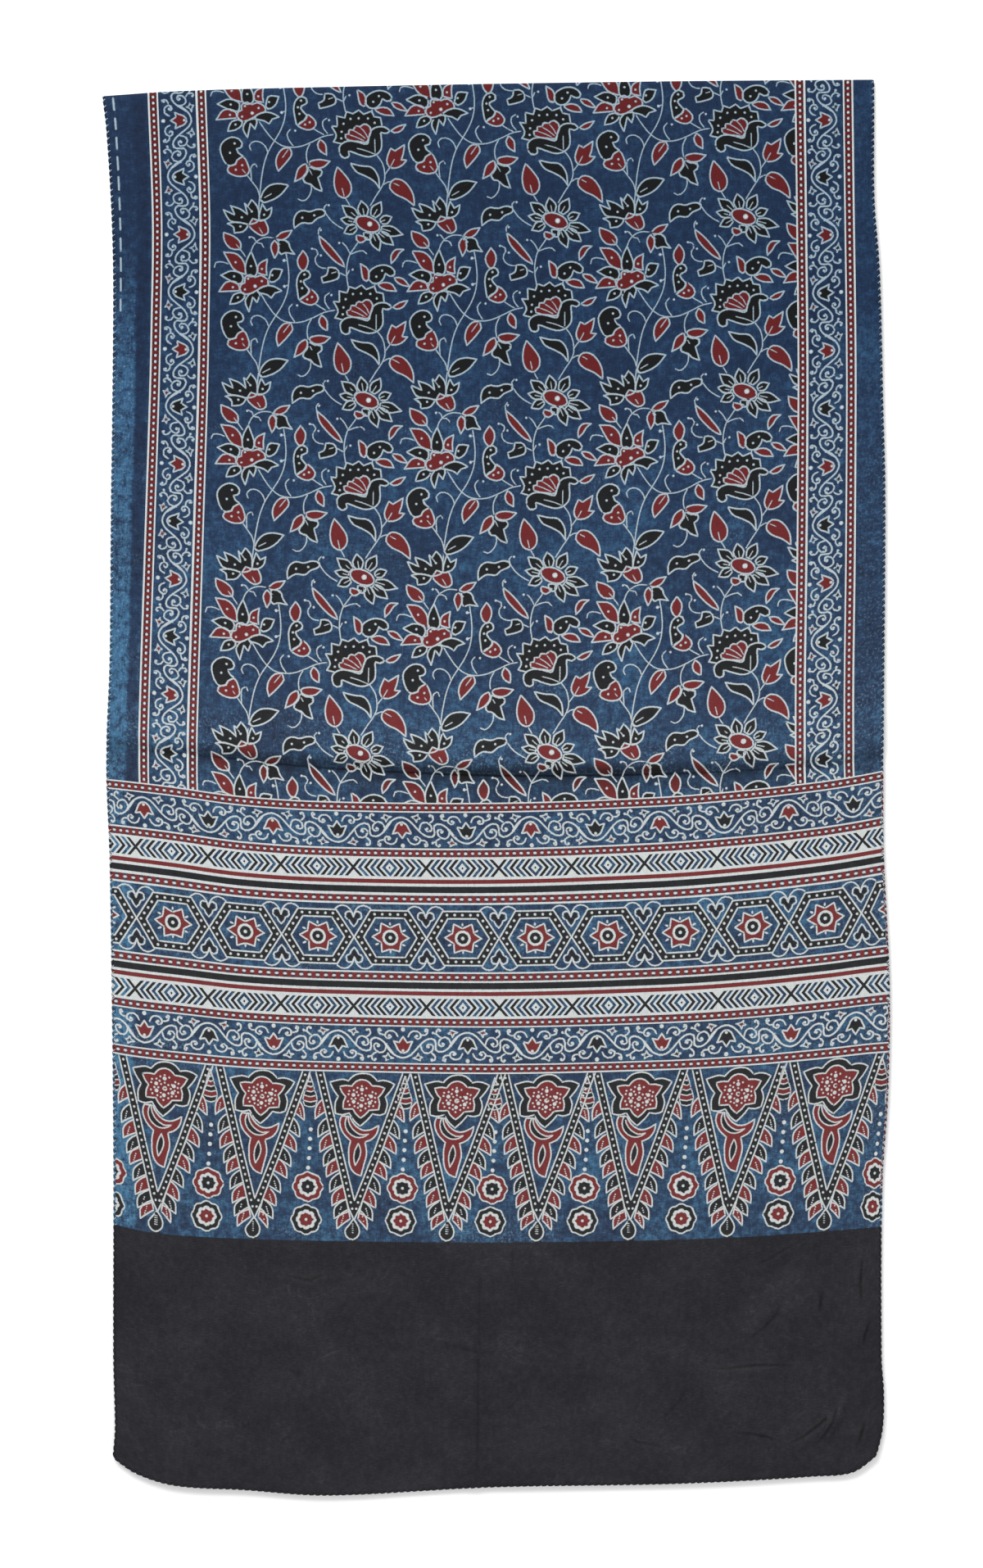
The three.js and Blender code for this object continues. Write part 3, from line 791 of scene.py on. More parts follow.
# The spearheads: a tall V, its flower, the leaves along its arms, and what stands between two of them.
LEFT_ARM = np.array([(-23.4, 0.5), (-15.7, 34), (-9.9, 60), (-5.2, 80), (-0.7, 100), (0.9, 109)])
RIGHT_ARM = np.array([(39.2, 0.5), (27.1, 34.4), (18.2, 59.2), (10.5, 79), (3.1, 98.8), (0.9, 109)])
ARM_HALF = 2.75
LEFT_LEAVES = [
    (-26.8, 35.5), (-24.7, 49), (-23.5, 60), (-21, 70.5), (-19, 78.5), (-16.5, 89.5), (-15, 99.5), (-13.5, 109),
    (-11.5, 116.5),
]
RIGHT_LEAVES = [
    (37.5, 37), (34, 49.7), (31.5, 60.7), (27.5, 71.3), (24.5, 80), (19.8, 91), (16.6, 101), (14.2, 110),
    (10.5, 117),
]
FLOWER_BACK = ("-16.1,8! -10.8,6.4 -6.5,5.6 -2.7,6.7! -0.8,4.5 1.9,2.3 7.1,0.9 12.5,1.4 15.7,3.4 "
               "18.2,6.6! 22.2,5.8 27.1,6.7 30.6,8.6! 28.2,12.8 23.8,18.2! 25.2,21.5 25.3,24.9 "
               "23.6,30.5! 20,31.8 14.6,31! 11.4,35 5.7,40.3! 2.2,37.5 -2.2,30.7! -7.6,32.1 -12.2,31.1! "
               "-12.5,26.8 -12.2,22.9 -10,18.6! -13.5,13.5")
FLOWER_FRONT = ("-8.9,11! -4.3,10.2 -0.3,10.6! 2.7,7.1 7.3,5.5 11.4,6.7 14.6,10.1! 19,10.2 23.6,11.6! "
                "21.4,15.6 18.7,18.8! 19.8,22.9 19,27.7! 15.7,28 12.2,28.3! 9.8,31.2 6,34.2! 3,31.8 "
                "0.5,27.5! -2.7,27.7 -6.5,27.6! -6.5,23.2 -4.6,18.6! -7.6,14.9")
FLOWER_HEART = (7.05, 20.2)
FLOWER_OVALS = [(0, 7.2), (71, 7.0), (115, 6.2), (187, 4.9), (252, 6.3), (297, 6.9)]
FLOWER_DOTS = [
    (0, 4.2), (43, 3.8), (88, 4.3), (140, 4.2), (222, 4.2), (275, 4.6), (318, 3.9),
    (0, 9.7), (22, 8.9), (340, 9.0), (55, 9.4), (66, 10.9), (82, 9.5), (60, 6.0), (98, 7.2), (101, 9.8),
    (121, 9.4), (136, 7.2), (160, 7.2), (187, 8.4), (205, 7.0), (225, 7.6), (244, 10), (260, 10.2), (272, 7.5),
    (290, 10.3), (303, 10.9), (318, 8.8), (325, 6.4),
]
CURL = ("-7.6,33! -8.9,36 -8.6,41.2 -6,46.6 -1.4,51.2! -2.6,57 -2.7,63.2 -2,69.8 1.2,75.1 6,77.2! "
        "8.1,69.2 10.2,60.4 9,52! 14,49.8 17.8,45.3 19.2,39.4! 15.7,41.5 11.4,43.3 6.5,43 2.7,40.4 "
        "-0.7,35.8 -1.6,33.4!")
CURL_INSIDE = ("-3.7,32.8! -5.2,37.5 -4.7,42 -1.7,46.3 2.7,48.7 8,48.3 11.7,46! 7,46.8 2.9,45 -0.6,41.5 "
               "-2.5,37.4 -2.9,33!")
SEED = "4.3,53! 6,58.4 4.4,65 1.8,69.5! 0.9,64.1 1.7,58.6"
DROP = "0.6,109! -2.6,113.5 -5.6,117.5 -4.8,121.8 -0.8,124.4 3.6,122 4.9,117.3 3.2,113"
SMILES = [(8.4, 3.4), (12.0, 5.0), (15.6, 6.9), (19.2, 9.2), (23.1, 10.4), (26.9, 8.0)]


def hanging_leaf(tip, arm, outward):
    """A leaf that hangs from an arm of the V to its tip."""
    def on_arm(height):
        return np.array([np.interp(height, arm[:, 1], arm[:, 0]) + outward * ARM_HALF, height])

    tip = np.array(tip, float)
    base, join = on_arm(tip[1] - 14.5), on_arm(min(tip[1] - 5.5, 109))
    shoulder = np.array([base[0] * 0.5 + tip[0] * 0.5, tip[1] - 12.0])
    side = tip + (-outward * 0.5, -8.2)
    points = np.array([base, shoulder, side, tip, join * 0.6 + tip * 0.4 + (0, -0.3), join])
    return points, np.array([True, False, False, True, False, True])


def around(centre, places_around):
    """Places around a centre, each given as an angle from straight up and a distance."""
    return open_shape([
        (centre[0] + away * math.sin(math.radians(turn)), centre[1] - away * math.cos(math.radians(turn)))
        for turn, away in places_around
    ])


def spearhead_block():
    """A spearhead, and what stands between it and the one on its left."""
    line = 0.52
    entries = []
    for arm, tips, outward in ((LEFT_ARM, LEFT_LEAVES, -1), (RIGHT_ARM, RIGHT_LEAVES, 1)):
        for k, tip in enumerate(tips):
            points, sharp = hanging_leaf(tip, arm, outward)
            entries.append(("black" if k % 2 else "red", (points, sharp), line))
            start = points[5] * 0.45 + points[2] * 0.55 + (0, -1.6)
            end = points[5] * 0.3 + points[3] * 0.7 + (0, -0.6)
            entries.append(("dots", open_shape(start + (end - start) * np.linspace(0, 1, 5)[:, None]), 0.5))
    for arm in (LEFT_ARM, RIGHT_ARM):
        edges = [arm[:-1] - (ARM_HALF, 0), arm[-1:], arm[-2::-1] + (ARM_HALF, 0)]
        entries.append(("black", corners(np.concatenate(edges)), 0))
        heights = np.linspace(3, 101.5, 22)
        dots = np.stack([np.interp(heights, arm[:, 1], arm[:, 0]), heights], -1)
        entries.append(("dots", open_shape(dots)))
    inner = [*(LEFT_ARM[:-2] + (ARM_HALF, 0)), (1.2, 95.5), *(RIGHT_ARM[-3::-1] - (ARM_HALF, 0))]
    outer = [*(LEFT_ARM[:-1] - (ARM_HALF, 0)), (0.9, 110), *(RIGHT_ARM[-2::-1] + (ARM_HALF, 0))]
    for edge in (inner, outer):
        for start, end in zip(edge[:-1], edge[1:]):
            entries.append(("line", open_shape([start, end]), line))
    entries += [
        ("black", DROP, line),
        *(("line", open_shape([(-1.1, y), (0.7, y + 0.2)]), 0.34) for y in (112.6, 114.2, 115.8, 117.4, 119)),
        ("black", FLOWER_BACK, line),
        ("red", FLOWER_FRONT, line),
        ("line", ellipse(FLOWER_HEART, 1.35, 1.35), 0.5),
        ("dots", around(FLOWER_HEART, FLOWER_OVALS), 1.35),
        ("dots", around(FLOWER_HEART, FLOWER_DOTS), 0.7),
        ("red", CURL, line),
        ("black", CURL_INSIDE, 0.46),
        ("black", SEED, 0.46),
    ]
    # Between the arms of two spearheads, measured from the tip of the right-hand one.
    middle = -30.4
    entries.append(("red", corners([(middle, 2.6), (middle + 1.7, 8.0), (middle - 1.7, 8.0)]), 0.45))
    smiles = [
        np.array([(middle - half / 2, y - 1.3), (middle, y), (middle + half / 2, y - 1.3)])
        for y, half in SMILES
    ]
    for k, smile in enumerate(smiles):
        entries.append(("line", open_shape(smile), 0.42))
        if k:
            shape = np.concatenate([smiles[k - 1], smile[::-1]])
            entries.append(("black" if k % 2 else "red", (shape, np.array([True, False, True] * 2)), 0))
            for end in (0, 2):
                entries.append(("line", open_shape([smiles[k - 1][end], smile[end]]), 0.36))
    entries.append(("dots", "-30,43.4 -30.5,50.4 -31,57.4 -31.5,64.6 -32.2,71.8", 1.45))
    for centre, ring, core in (((-32.5, 85.8), "red", "black"), ((-33.8, 110), "black", "red")):
        entries += rosette(centre, ring, core)
    return Block(entries)


def rosette(centre, ring, core, lobes=8):
    """A ring of one dye with lobes, a core of the other, and a white flower's edge between them."""
    def lobed(radius, dye_depth_and_painted_shade):
        turn = np.arange(lobes * 4) * 2 * np.pi / (lobes * 4)
        away = radius * (1 - dye_depth_and_painted_shade * (1 - np.abs(np.cos(turn * lobes / 2))))
        return open_shape(np.stack([centre[0] + away * np.cos(turn), centre[1] + away * np.sin(turn)], -1))

    return [
        (ring, lobed(11.1, 0.12), 0.5),
        (core, lobed(5.9, 0.2), 0),
        ("line", lobed(6.6, 0.2), 0.95),
        ("dots", f"{centre[0]},{centre[1]}", 1.0),
    ]


# Where the tips of the spearheads stand across the cloth, and how tall the block is.
SPEARHEAD_TIPS = [4.8, 75.1, 147.2, 215.7, 280.6, 347.3, 418.8, 489.1, 560.0]
SPEARHEAD_HEIGHT = 125.5
EVEN = np.eye(2)
DASH_ACROSS = -19.8
DASH_LEANS = -0.1
DASH_START = 0.6
DASH_LENGTH = 10.0
DASH_PITCH = 15.5
DASH_COUNT = 11
HEXAGON_START = 175.7
HEXAGON_PITCH = 52.3
HEXAGON_MIDDLE = 619.4


def print_cloth(cloth):
    """Presses every block on the cloth. Those of the field land a little off their places, as by hand."""
    field = Block(FAN_FLOWER + LOTUS + TRUMPET_FLOWERS + BUDS_AND_LEAVES + DAISY + CROWN_FLOWER)
    for i in range(4):
        for j in range(-1, 4):
            slip = rng.uniform(-0.25, 0.25, 2)
            cloth.press(field, FIELD, EVEN, np.add(FIELD_START, np.multiply(FIELD_REPEAT, (i, j))) + slip)
    dashes = []
    for n in range(DASH_COUNT):
        x, y = DASH_ACROSS + DASH_LEANS * n, DASH_START + DASH_PITCH * n
        dashes.append(("line", open_shape([(x, y), (x, y + DASH_LENGTH)]), 0.6))
    cloth.press(Block(dashes), LEFT_MARGIN, EVEN, (0, 0))
    scroll = scroll_block()
    for region, centre, start, half in (
        (LEFT_BORDER, 21.9, 21.5, 43.2),
        (RIGHT_BORDER, 494.1, 29.7, 43.2),
    ):
        for n in range(-1, 13):
            flip = 1 if n % 2 == 0 else -1
            turn = [(0, flip), (half / SCROLL_HALF, 0)]
            cloth.press(scroll, region, turn, (centre, start + n * half), swap=flip < 0)
    for region, centre, start, half, up in (
        (UPPER_SCROLL, 541.0, 188.6, 46.5, -1),
        (LOWER_SCROLL, 697.3, 184.0, 46.6, 1),
    ):
        for n in range(-5, 9):
            flip = 1 if n % 2 == 0 else -1
            turn = [(half / SCROLL_HALF, 0), (0, flip * up)]
            cloth.press(scroll, region, turn, (start + n * half, centre), swap=flip < 0)
    hexagons = hexagon_block()
    for n in range(-4, 8):
        cloth.press(hexagons, HEXAGONS, EVEN, (HEXAGON_START + n * HEXAGON_PITCH, HEXAGON_MIDDLE))
    spearheads = spearhead_block()
    tall = (SPEARHEADS[3] - SPEARHEADS[2]) / SPEARHEAD_HEIGHT
    for tip in SPEARHEAD_TIPS:
        cloth.press(spearheads, SPEARHEADS, [(1, 0), (0, tall)], (tip, SPEARHEADS[2]))
    cloth.black = np.minimum(cloth.black, PRINT_END - cloth.rows[:, None])


def stripe_at(x, y):
    """For the corners of each face: the way off a stripe's centre line, the run along it, and its kind.

    By a crease they are the way off it, how dark the painted shade in its valley is, and the crease's kind.
    """
    middle_x, middle_y = x.mean(-1), y.mean(-1)
    stripes = np.zeros(x.shape + (3,), np.float32)

    def lay(mask, off, run, stripe):
        kind, _, _, centre, pitch, start = stripe
        unit = CHEVRON_PITCH if kind == CHEVRONS else DOT_PITCH
        stripes[mask, :, 0] = (off - centre)[mask]
        stripes[mask, :, 1] = ((run - start) / pitch * unit)[mask]
        stripes[mask, :, 2] = kind

    for stripe in STRIPES_ALONG:
        lay((middle_x > stripe[1]) & (middle_x < stripe[2]) & (middle_y < BORDER_END), x, y, stripe)
    for stripe in STRIPES_ACROSS:
        lay((middle_y > stripe[1]) & (middle_y < stripe[2]), y, x, stripe)
    plain = np.flatnonzero(middle_y.ravel() > PRINT_END)
    if len(plain):
        faces = stripes.reshape(-1, x.shape[-1], 3)
        face_x, face_y = x.reshape(-1, x.shape[-1]), y.reshape(-1, x.shape[-1])
        table_x, table_y, _ = place_on_table(face_x[plain], face_y[plain])
        for line, _, _, dark in CREASES:
            off, share_along = off_line(line, table_x, table_y)
            near = np.abs(off).max(-1) < CREASE_REACH
            faces[plain[near], :, 0] = off[near]
            faces[plain[near], :, 1] = dark * np.sin(np.pi * share_along[near])
            faces[plain[near], :, 2] = CREASE
    return stripes


def graduated(stops, step):
    """Places between the stops, no further apart than the step."""
    made = [stops[:1]]
    for start, end in zip(stops[:-1], stops[1:]):
        made.append(np.linspace(start, end, max(1, math.ceil((end - start) / step)) + 1)[1:])
    return np.concatenate(made)


def grid_mesh(name, points, flip):
    """A mesh of quads over a grid of points, given in millimetres."""
    rows, columns = points.shape[:2]
    number = np.arange(rows * columns).reshape(rows, columns)
    faces = np.stack([number[:-1, :-1], number[1:, :-1], number[1:, 1:], number[:-1, 1:]], -1).reshape(-1, 4)
    if flip:
        faces = faces[:, ::-1]
    mesh = bpy.data.meshes.new(name)
    mesh.vertices.add(points.shape[0] * points.shape[1])
    mesh.vertices.foreach_set("co", (points.reshape(-1, 3) * MM).ravel())
    mesh.loops.add(faces.size)
    mesh.loops.foreach_set("vertex_index", faces.ravel())
    mesh.polygons.add(len(faces))
    mesh.polygons.foreach_set("loop_start", np.arange(len(faces)) * 4)
    mesh.update(calc_edges=True)
    mesh.polygons.foreach_set("use_smooth", np.ones(len(faces), bool))
    return mesh


def write_values(mesh, name, values, domain):
    """Keeps three values for each corner or point of a mesh, for the material to read."""
    data = mesh.attributes.new(name, "FLOAT_VECTOR", domain).data
    data.foreach_set("vector", values.astype(np.float32).ravel())


def shown(name, mesh):
    piece = bpy.data.objects.new(name, mesh)
    bpy.context.scene.collection.objects.link(piece)
    return piece


def printed_sheet(name, columns, rows, surface, flip):
    """A half of the cloth with its print. Its OFBake layer spreads it flat, for a baked picture."""
    cloth = Cloth(columns, rows)
    print_cloth(cloth)
    across, along = np.meshgrid(columns, rows)
    mesh = grid_mesh(name, surface(across, along), flip)
    order = [3, 2, 1, 0] if flip else [0, 1, 2, 3]
    for k, slot in enumerate(strokes_by_face(cloth)):
        write_values(mesh, f"stroke_{k + 1}", slot[:, order], "CORNER")
    x = np.stack([columns[:-1], columns[:-1], columns[1:], columns[1:]], -1)[None].repeat(len(rows) - 1, 0)
    y = np.stack([rows[:-1], rows[1:], rows[1:], rows[:-1]], -1)[:, None].repeat(len(columns) - 1, 1)
    write_values(mesh, "stripe", stripe_at(x, y)[:, :, order], "CORNER")
    _, _, share = place_on_table(across, along)
    # The third value is the place past the old fold, where the painted shade and painted sheen lie.
    past = np.clip(along - straight(OLD_FOLD_LINE, share), -FAR, FAR)
    write_values(mesh, "dye", np.stack([cloth.red, cloth.black, past], -1), "POINT")
    write_values(mesh, "flat", np.stack([across, along, straight(OLD_FOLD_STRENGTH, share)], -1), "POINT")
    u = (across - columns[0]) / (columns[-1] - columns[0])
    v = (along - rows[0]) / (rows[-1] - rows[0])
    loops = np.zeros(len(mesh.loops), np.int32)
    mesh.loops.foreach_get("vertex_index", loops)
    spread_flat = np.stack([u, 1 - v], -1).reshape(-1, 2)[loops]
    mesh.uv_layers.new(name="OFBake").data.foreach_set("uv", spread_flat.astype(np.float32).ravel())
    return shown(name, mesh)


# Each stripe and region starts and ends on an edge of the mesh, so none of them cuts a face.
COLUMN_STOPS = np.unique([LEFT_EDGE, RIGHT_EDGE, *(edge for stripe in STRIPES_ALONG for edge in stripe[1:3])])
ROW_STOPS = np.unique([0, PRINT_END, *(edge for stripe in STRIPES_ACROSS for edge in stripe[1:3])])
BEND_ROWS = 6


def sheet_rows(step, plain_step, with_bend):
    """Rows from the fold, or from the far side of its bend, to the end of the cloth."""
    bend = -BEND_RADIUS * math.pi * (1 - np.arange(BEND_ROWS) / BEND_ROWS) if with_bend else np.array([])
    plain = graduated(np.array([PRINT_END, HALF_LENGTH]), plain_step)
    return np.concatenate([bend, graduated(ROW_STOPS, step), plain[1:]])


# Materials. Colours are as the eye sees them, and one function makes them linear.
# The blue ranges from the fold's fresh dye to worn dye and painted sheen, and the bare cloth keeps some
# blue in its thin lines.
INDIGO_DARK = "#142340"
INDIGO = "#203b60"
INDIGO_PALE = "#3f719e"
MADDER = "#782124"
IRON_BLACK = "#111317"
CHARCOAL = "#23212a"
RESIST_BLUE = "#9aaeb9"
RESIST = "#c8cdcc"
DUST_AND_SHEEN_TINT = "#a9a6ab"
WEAR_AND_SHEEN_FLECK = "#8fb0c6"
AGED = "#eefaea"
PALE_THREAD = "#aebac2"
THREAD = "#15171f"
TABLE = "#ffffff"
# Half widths of what is printed on the stripes.
DOTTED_HALF = 2.6
RED_LINE_HALF = 1.5
BLACK_LINE_HALF = 2.35
CHEVRONS_HALF = 6.3
CHEVRON_HALF = 1.28
DOT_RADIUS = 0.86
BLACK_CELL_HALF = 0.95
BLACK_CELL_DEPTH = 0.65
CHEVRONS_A_SIDE = 6
# The dye wears and a painted light gradient brightens the colours between these places along the cloth, and
# the painted sheen of the left edge grows between these.
WEAR_AND_PAINTED_LIGHT = (120.0, 620.0)
EDGE_SHEEN = (110.0, 210.0)


def linear(code, alpha=1.0):
    values = [int(code[k:k + 2], 16) / 255 for k in (1, 3, 5)]
    return (*[v / 12.92 if v <= 0.04045 else ((v + 0.055) / 1.055) ** 2.4 for v in values], alpha)


def add(tree, kind, *inputs, into=None, **settings):
    """Adds a node, sets it up and links it.

    The kind may end in an operation. An input is a value, a socket or a node.
    """
    kind, _, operation = kind.partition(" ")
    made = tree.nodes.new("ShaderNode" + kind)
    if operation:
        made.operation = operation
    for name, value in settings.items():
        setattr(made, name, value)
    sockets = [*zip([socket for socket in made.inputs if socket.enabled], inputs)]
    sockets += [(made.inputs[name], value) for name, value in (into or {}).items()]
    for socket, value in sockets:
        if isinstance(value, bpy.types.Node):
            value = next(output for output in value.outputs if output.enabled)
        if isinstance(value, bpy.types.NodeSocket):
            tree.links.new(value, socket)
        else:
            socket.default_value = value
    return made


def inside(node, value, edge, soft=0.15):
    """1 where a value is below an edge and 0 above it, with the soft border that a dye has."""
    return node("MapRange", value, edge + soft, edge - soft, 0.0, 1.0)


def without(node, mask):
    return node("Math SUBTRACT", 1.0, mask)


def off_the_strokes(node, creep):
    """How far a place is from the nearest white stroke. It is below 0 on a stroke."""
    nearest = None
    for k in range(SLOTS):
        way = node("Attribute", attribute_name=f"stroke_{k + 1}").outputs["Vector"]
        length = node("VectorMath LENGTH", node("VectorMath MULTIPLY", way, (1, 1, 0))).outputs["Value"]
        away = node("Math SUBTRACT", length, node("SeparateXYZ", way).outputs["Z"])
        nearest = away if nearest is None else node("Math MINIMUM", nearest, away)
    return node("Math ADD", nearest, creep)


def chevrons_and_diamonds(node, run, off_size, creep):
    """Nested chevrons on both sides of a diamond, and which of them are blue."""
    from_diamond = node("Math SUBTRACT", node("Math FLOORED_MODULO", run, CHEVRON_PITCH), CHEVRON_PITCH / 2)
    step = CHEVRON_PITCH / 12
    away = node("Math ADD", node("Math ABSOLUTE", from_diamond), node("Math MULTIPLY", off_size, 0.87))
    number = node("Math ROUND", node("Math DIVIDE", away, step))
    from_chevron = node("Math ABSOLUTE", node("Math SUBTRACT", away, node("Math MULTIPLY", number, step)))
    diamond = node("Math LESS_THAN", number, 0.5)
    thick = node("Math SUBTRACT", CHEVRON_HALF, node("Math MULTIPLY", diamond, 0.4))
    chevron = inside(node, node("Math SUBTRACT", node("Math ADD", from_chevron, creep), thick), 0.0)
    chevron = node("Math MULTIPLY", chevron, node("Math LESS_THAN", number, CHEVRONS_A_SIDE + 0.5))
    chevron = node("Math MULTIPLY", chevron, inside(node, off_size, CHEVRONS_HALF))
    odd = node("Math GREATER_THAN", node("Math FRACT", node("Math MULTIPLY", number, 0.5)), 0.25)
    return chevron, odd


def stripes_and_creases(node, creep):
    """The stripes: where they lie and where they are printed, black and red, and the creases' painted shade."""
    stripe = node("SeparateXYZ", node("Attribute", attribute_name="stripe").outputs["Vector"])
    off = node("Math ADD", stripe.outputs["X"], node("Math MULTIPLY", creep, 0.6))
    run, kind = stripe.outputs["Y"], stripe.outputs["Z"]
    off_size = node("Math ABSOLUTE", off)
    dotted, chevrons, red_line, black_line, crease = [
        node("Math COMPARE", kind, number, 0.25)
        for number in (DOTTED, CHEVRONS, RED_LINE, BLACK_LINE, CREASE)
    ]
    on_stripe = node("Math SUBTRACT", node("Math GREATER_THAN", kind, 0.5), crease)

    # White ovals on red, with black on both sides of each.
    from_dot = node("Math SUBTRACT", node("Math FLOORED_MODULO", run, DOT_PITCH), DOT_PITCH / 2)
    oval = node("VectorMath LENGTH", node("CombineXYZ", node("Math MULTIPLY", from_dot, 0.78), off))
    dot = inside(node, node("Math ADD", oval.outputs["Value"], creep), DOT_RADIUS, 0.25)
    cell = inside(node, node("Math ADD", node("Math ABSOLUTE", from_dot), creep), BLACK_CELL_HALF, 0.35)
    cell = node("Math MULTIPLY", cell, BLACK_CELL_DEPTH)
    dotted = node("Math MULTIPLY", dotted, inside(node, off_size, DOTTED_HALF))
    chevron, odd = chevrons_and_diamonds(node, run, off_size, creep)
    parts = [
        (node("Math MULTIPLY", dotted, without(node, dot)), cell, without(node, cell)),
        (node("Math MULTIPLY", red_line, inside(node, off_size, RED_LINE_HALF)), 0.0, 1.0),
        (node("Math MULTIPLY", black_line, inside(node, off_size, BLACK_LINE_HALF)), 1.0, 0.0),
        (node("Math MULTIPLY", chevron, chevrons), without(node, odd), 0.0),
    ]
    printed, black, red = 0.0, 0.0, 0.0
    for mask, black_share, red_share in parts:
        black = node("Math MULTIPLY_ADD", mask, black_share, black)
        red = node("Math MULTIPLY_ADD", mask, red_share, red)
        printed = node("Math ADD", printed, mask)

    # Painted shade in the valley of each crease on the plain end.
    painted_valley_shade = node("MapRange", node("Math ABSOLUTE", node("Math ADD", off, 0.4)), 0.2, 1.7, 1.0, 0.0)
    painted_valley_shade = node("Math MULTIPLY", node("Math MULTIPLY", painted_valley_shade, run), crease)
    return on_stripe, printed, black, red, painted_valley_shade


def indigo_dye(node, across, along, wear_and_painted_light, noises):
    """The blue: deep and even by the fold, and paler and more flecked further on, with wear and painted light.
    """
    clouds, mottle, weft, warp = noises
    pale = 0.5
    for noise, share in ((clouds, 1.0), (mottle, 1.7), (weft, 0.6), (warp, 0.5)):
        amount = node("MapRange", wear_and_painted_light, 0.0, 1.0, share * 0.55, share * 1.1)
        pale = node("Math MULTIPLY_ADD", node("Math SUBTRACT", noise, 0.5), amount, pale)
    # Painted sheen: the left edge is made paler from a hand's width below the fold.
    # Beside it the blue is darker.
    edge_wave = node("Math MULTIPLY_ADD", warp, 3.0, across)
    painted_edge_sheen = node("MapRange", edge_wave, -7.6, -10.0, 0.0, 1.0)
    painted_edge_sheen = node("Math MULTIPLY", painted_edge_sheen, node("MapRange", along, *EDGE_SHEEN, 0.0, 1.0))
    uneven = node("Math ADD", mottle, node("Math MULTIPLY", warp, 0.5))
    painted_edge_sheen = node("Math MULTIPLY", painted_edge_sheen, node("MapRange", uneven, 0.55, 0.9, 0.1, 0.46))
    pale = node("Math ADD", pale, painted_edge_sheen)
    beside = node("MapRange", across, -1.0, -3.0, 0.0, 1.0)
    beside = node("Math MULTIPLY", beside, node("MapRange", edge_wave, -9.0, -6.6, 0.0, 1.0))
    pale = node("Math MULTIPLY_ADD", beside, -0.14, pale)
    indigo = node("ValToRGB", pale)
    ramp = indigo.color_ramp
    ramp.elements[0].position = 0.1
    ramp.elements[0].color = linear(INDIGO_DARK)
    ramp.elements[1].position = 1.0
    ramp.elements[1].color = linear(INDIGO_PALE)
    ramp.elements.new(0.5).color = linear(INDIGO)
    return indigo, painted_edge_sheen


def painted_old_fold_shade(node, past, strength):
    """The painted shade by the old fold: a thin black line, with a soft shade above and below it."""
    line = node("MapRange", node("Math ABSOLUTE", past), 0.6, 1.7, 0.9, 0.0)
    above = node("MapRange", past, -11.0, -3.0, 0.0, 0.58)
    above = node("Math MULTIPLY", above, node("Math LESS_THAN", past, 0.4))
    below = node("MapRange", past, 3.0, 17.0, 0.52, 0.0)
    below = node("Math MULTIPLY", below, node("Math GREATER_THAN", past, 0.0))
    deepest = node("Math MAXIMUM", node("Math MAXIMUM", line, above), below)
    return node("Math MULTIPLY", deepest, strength)


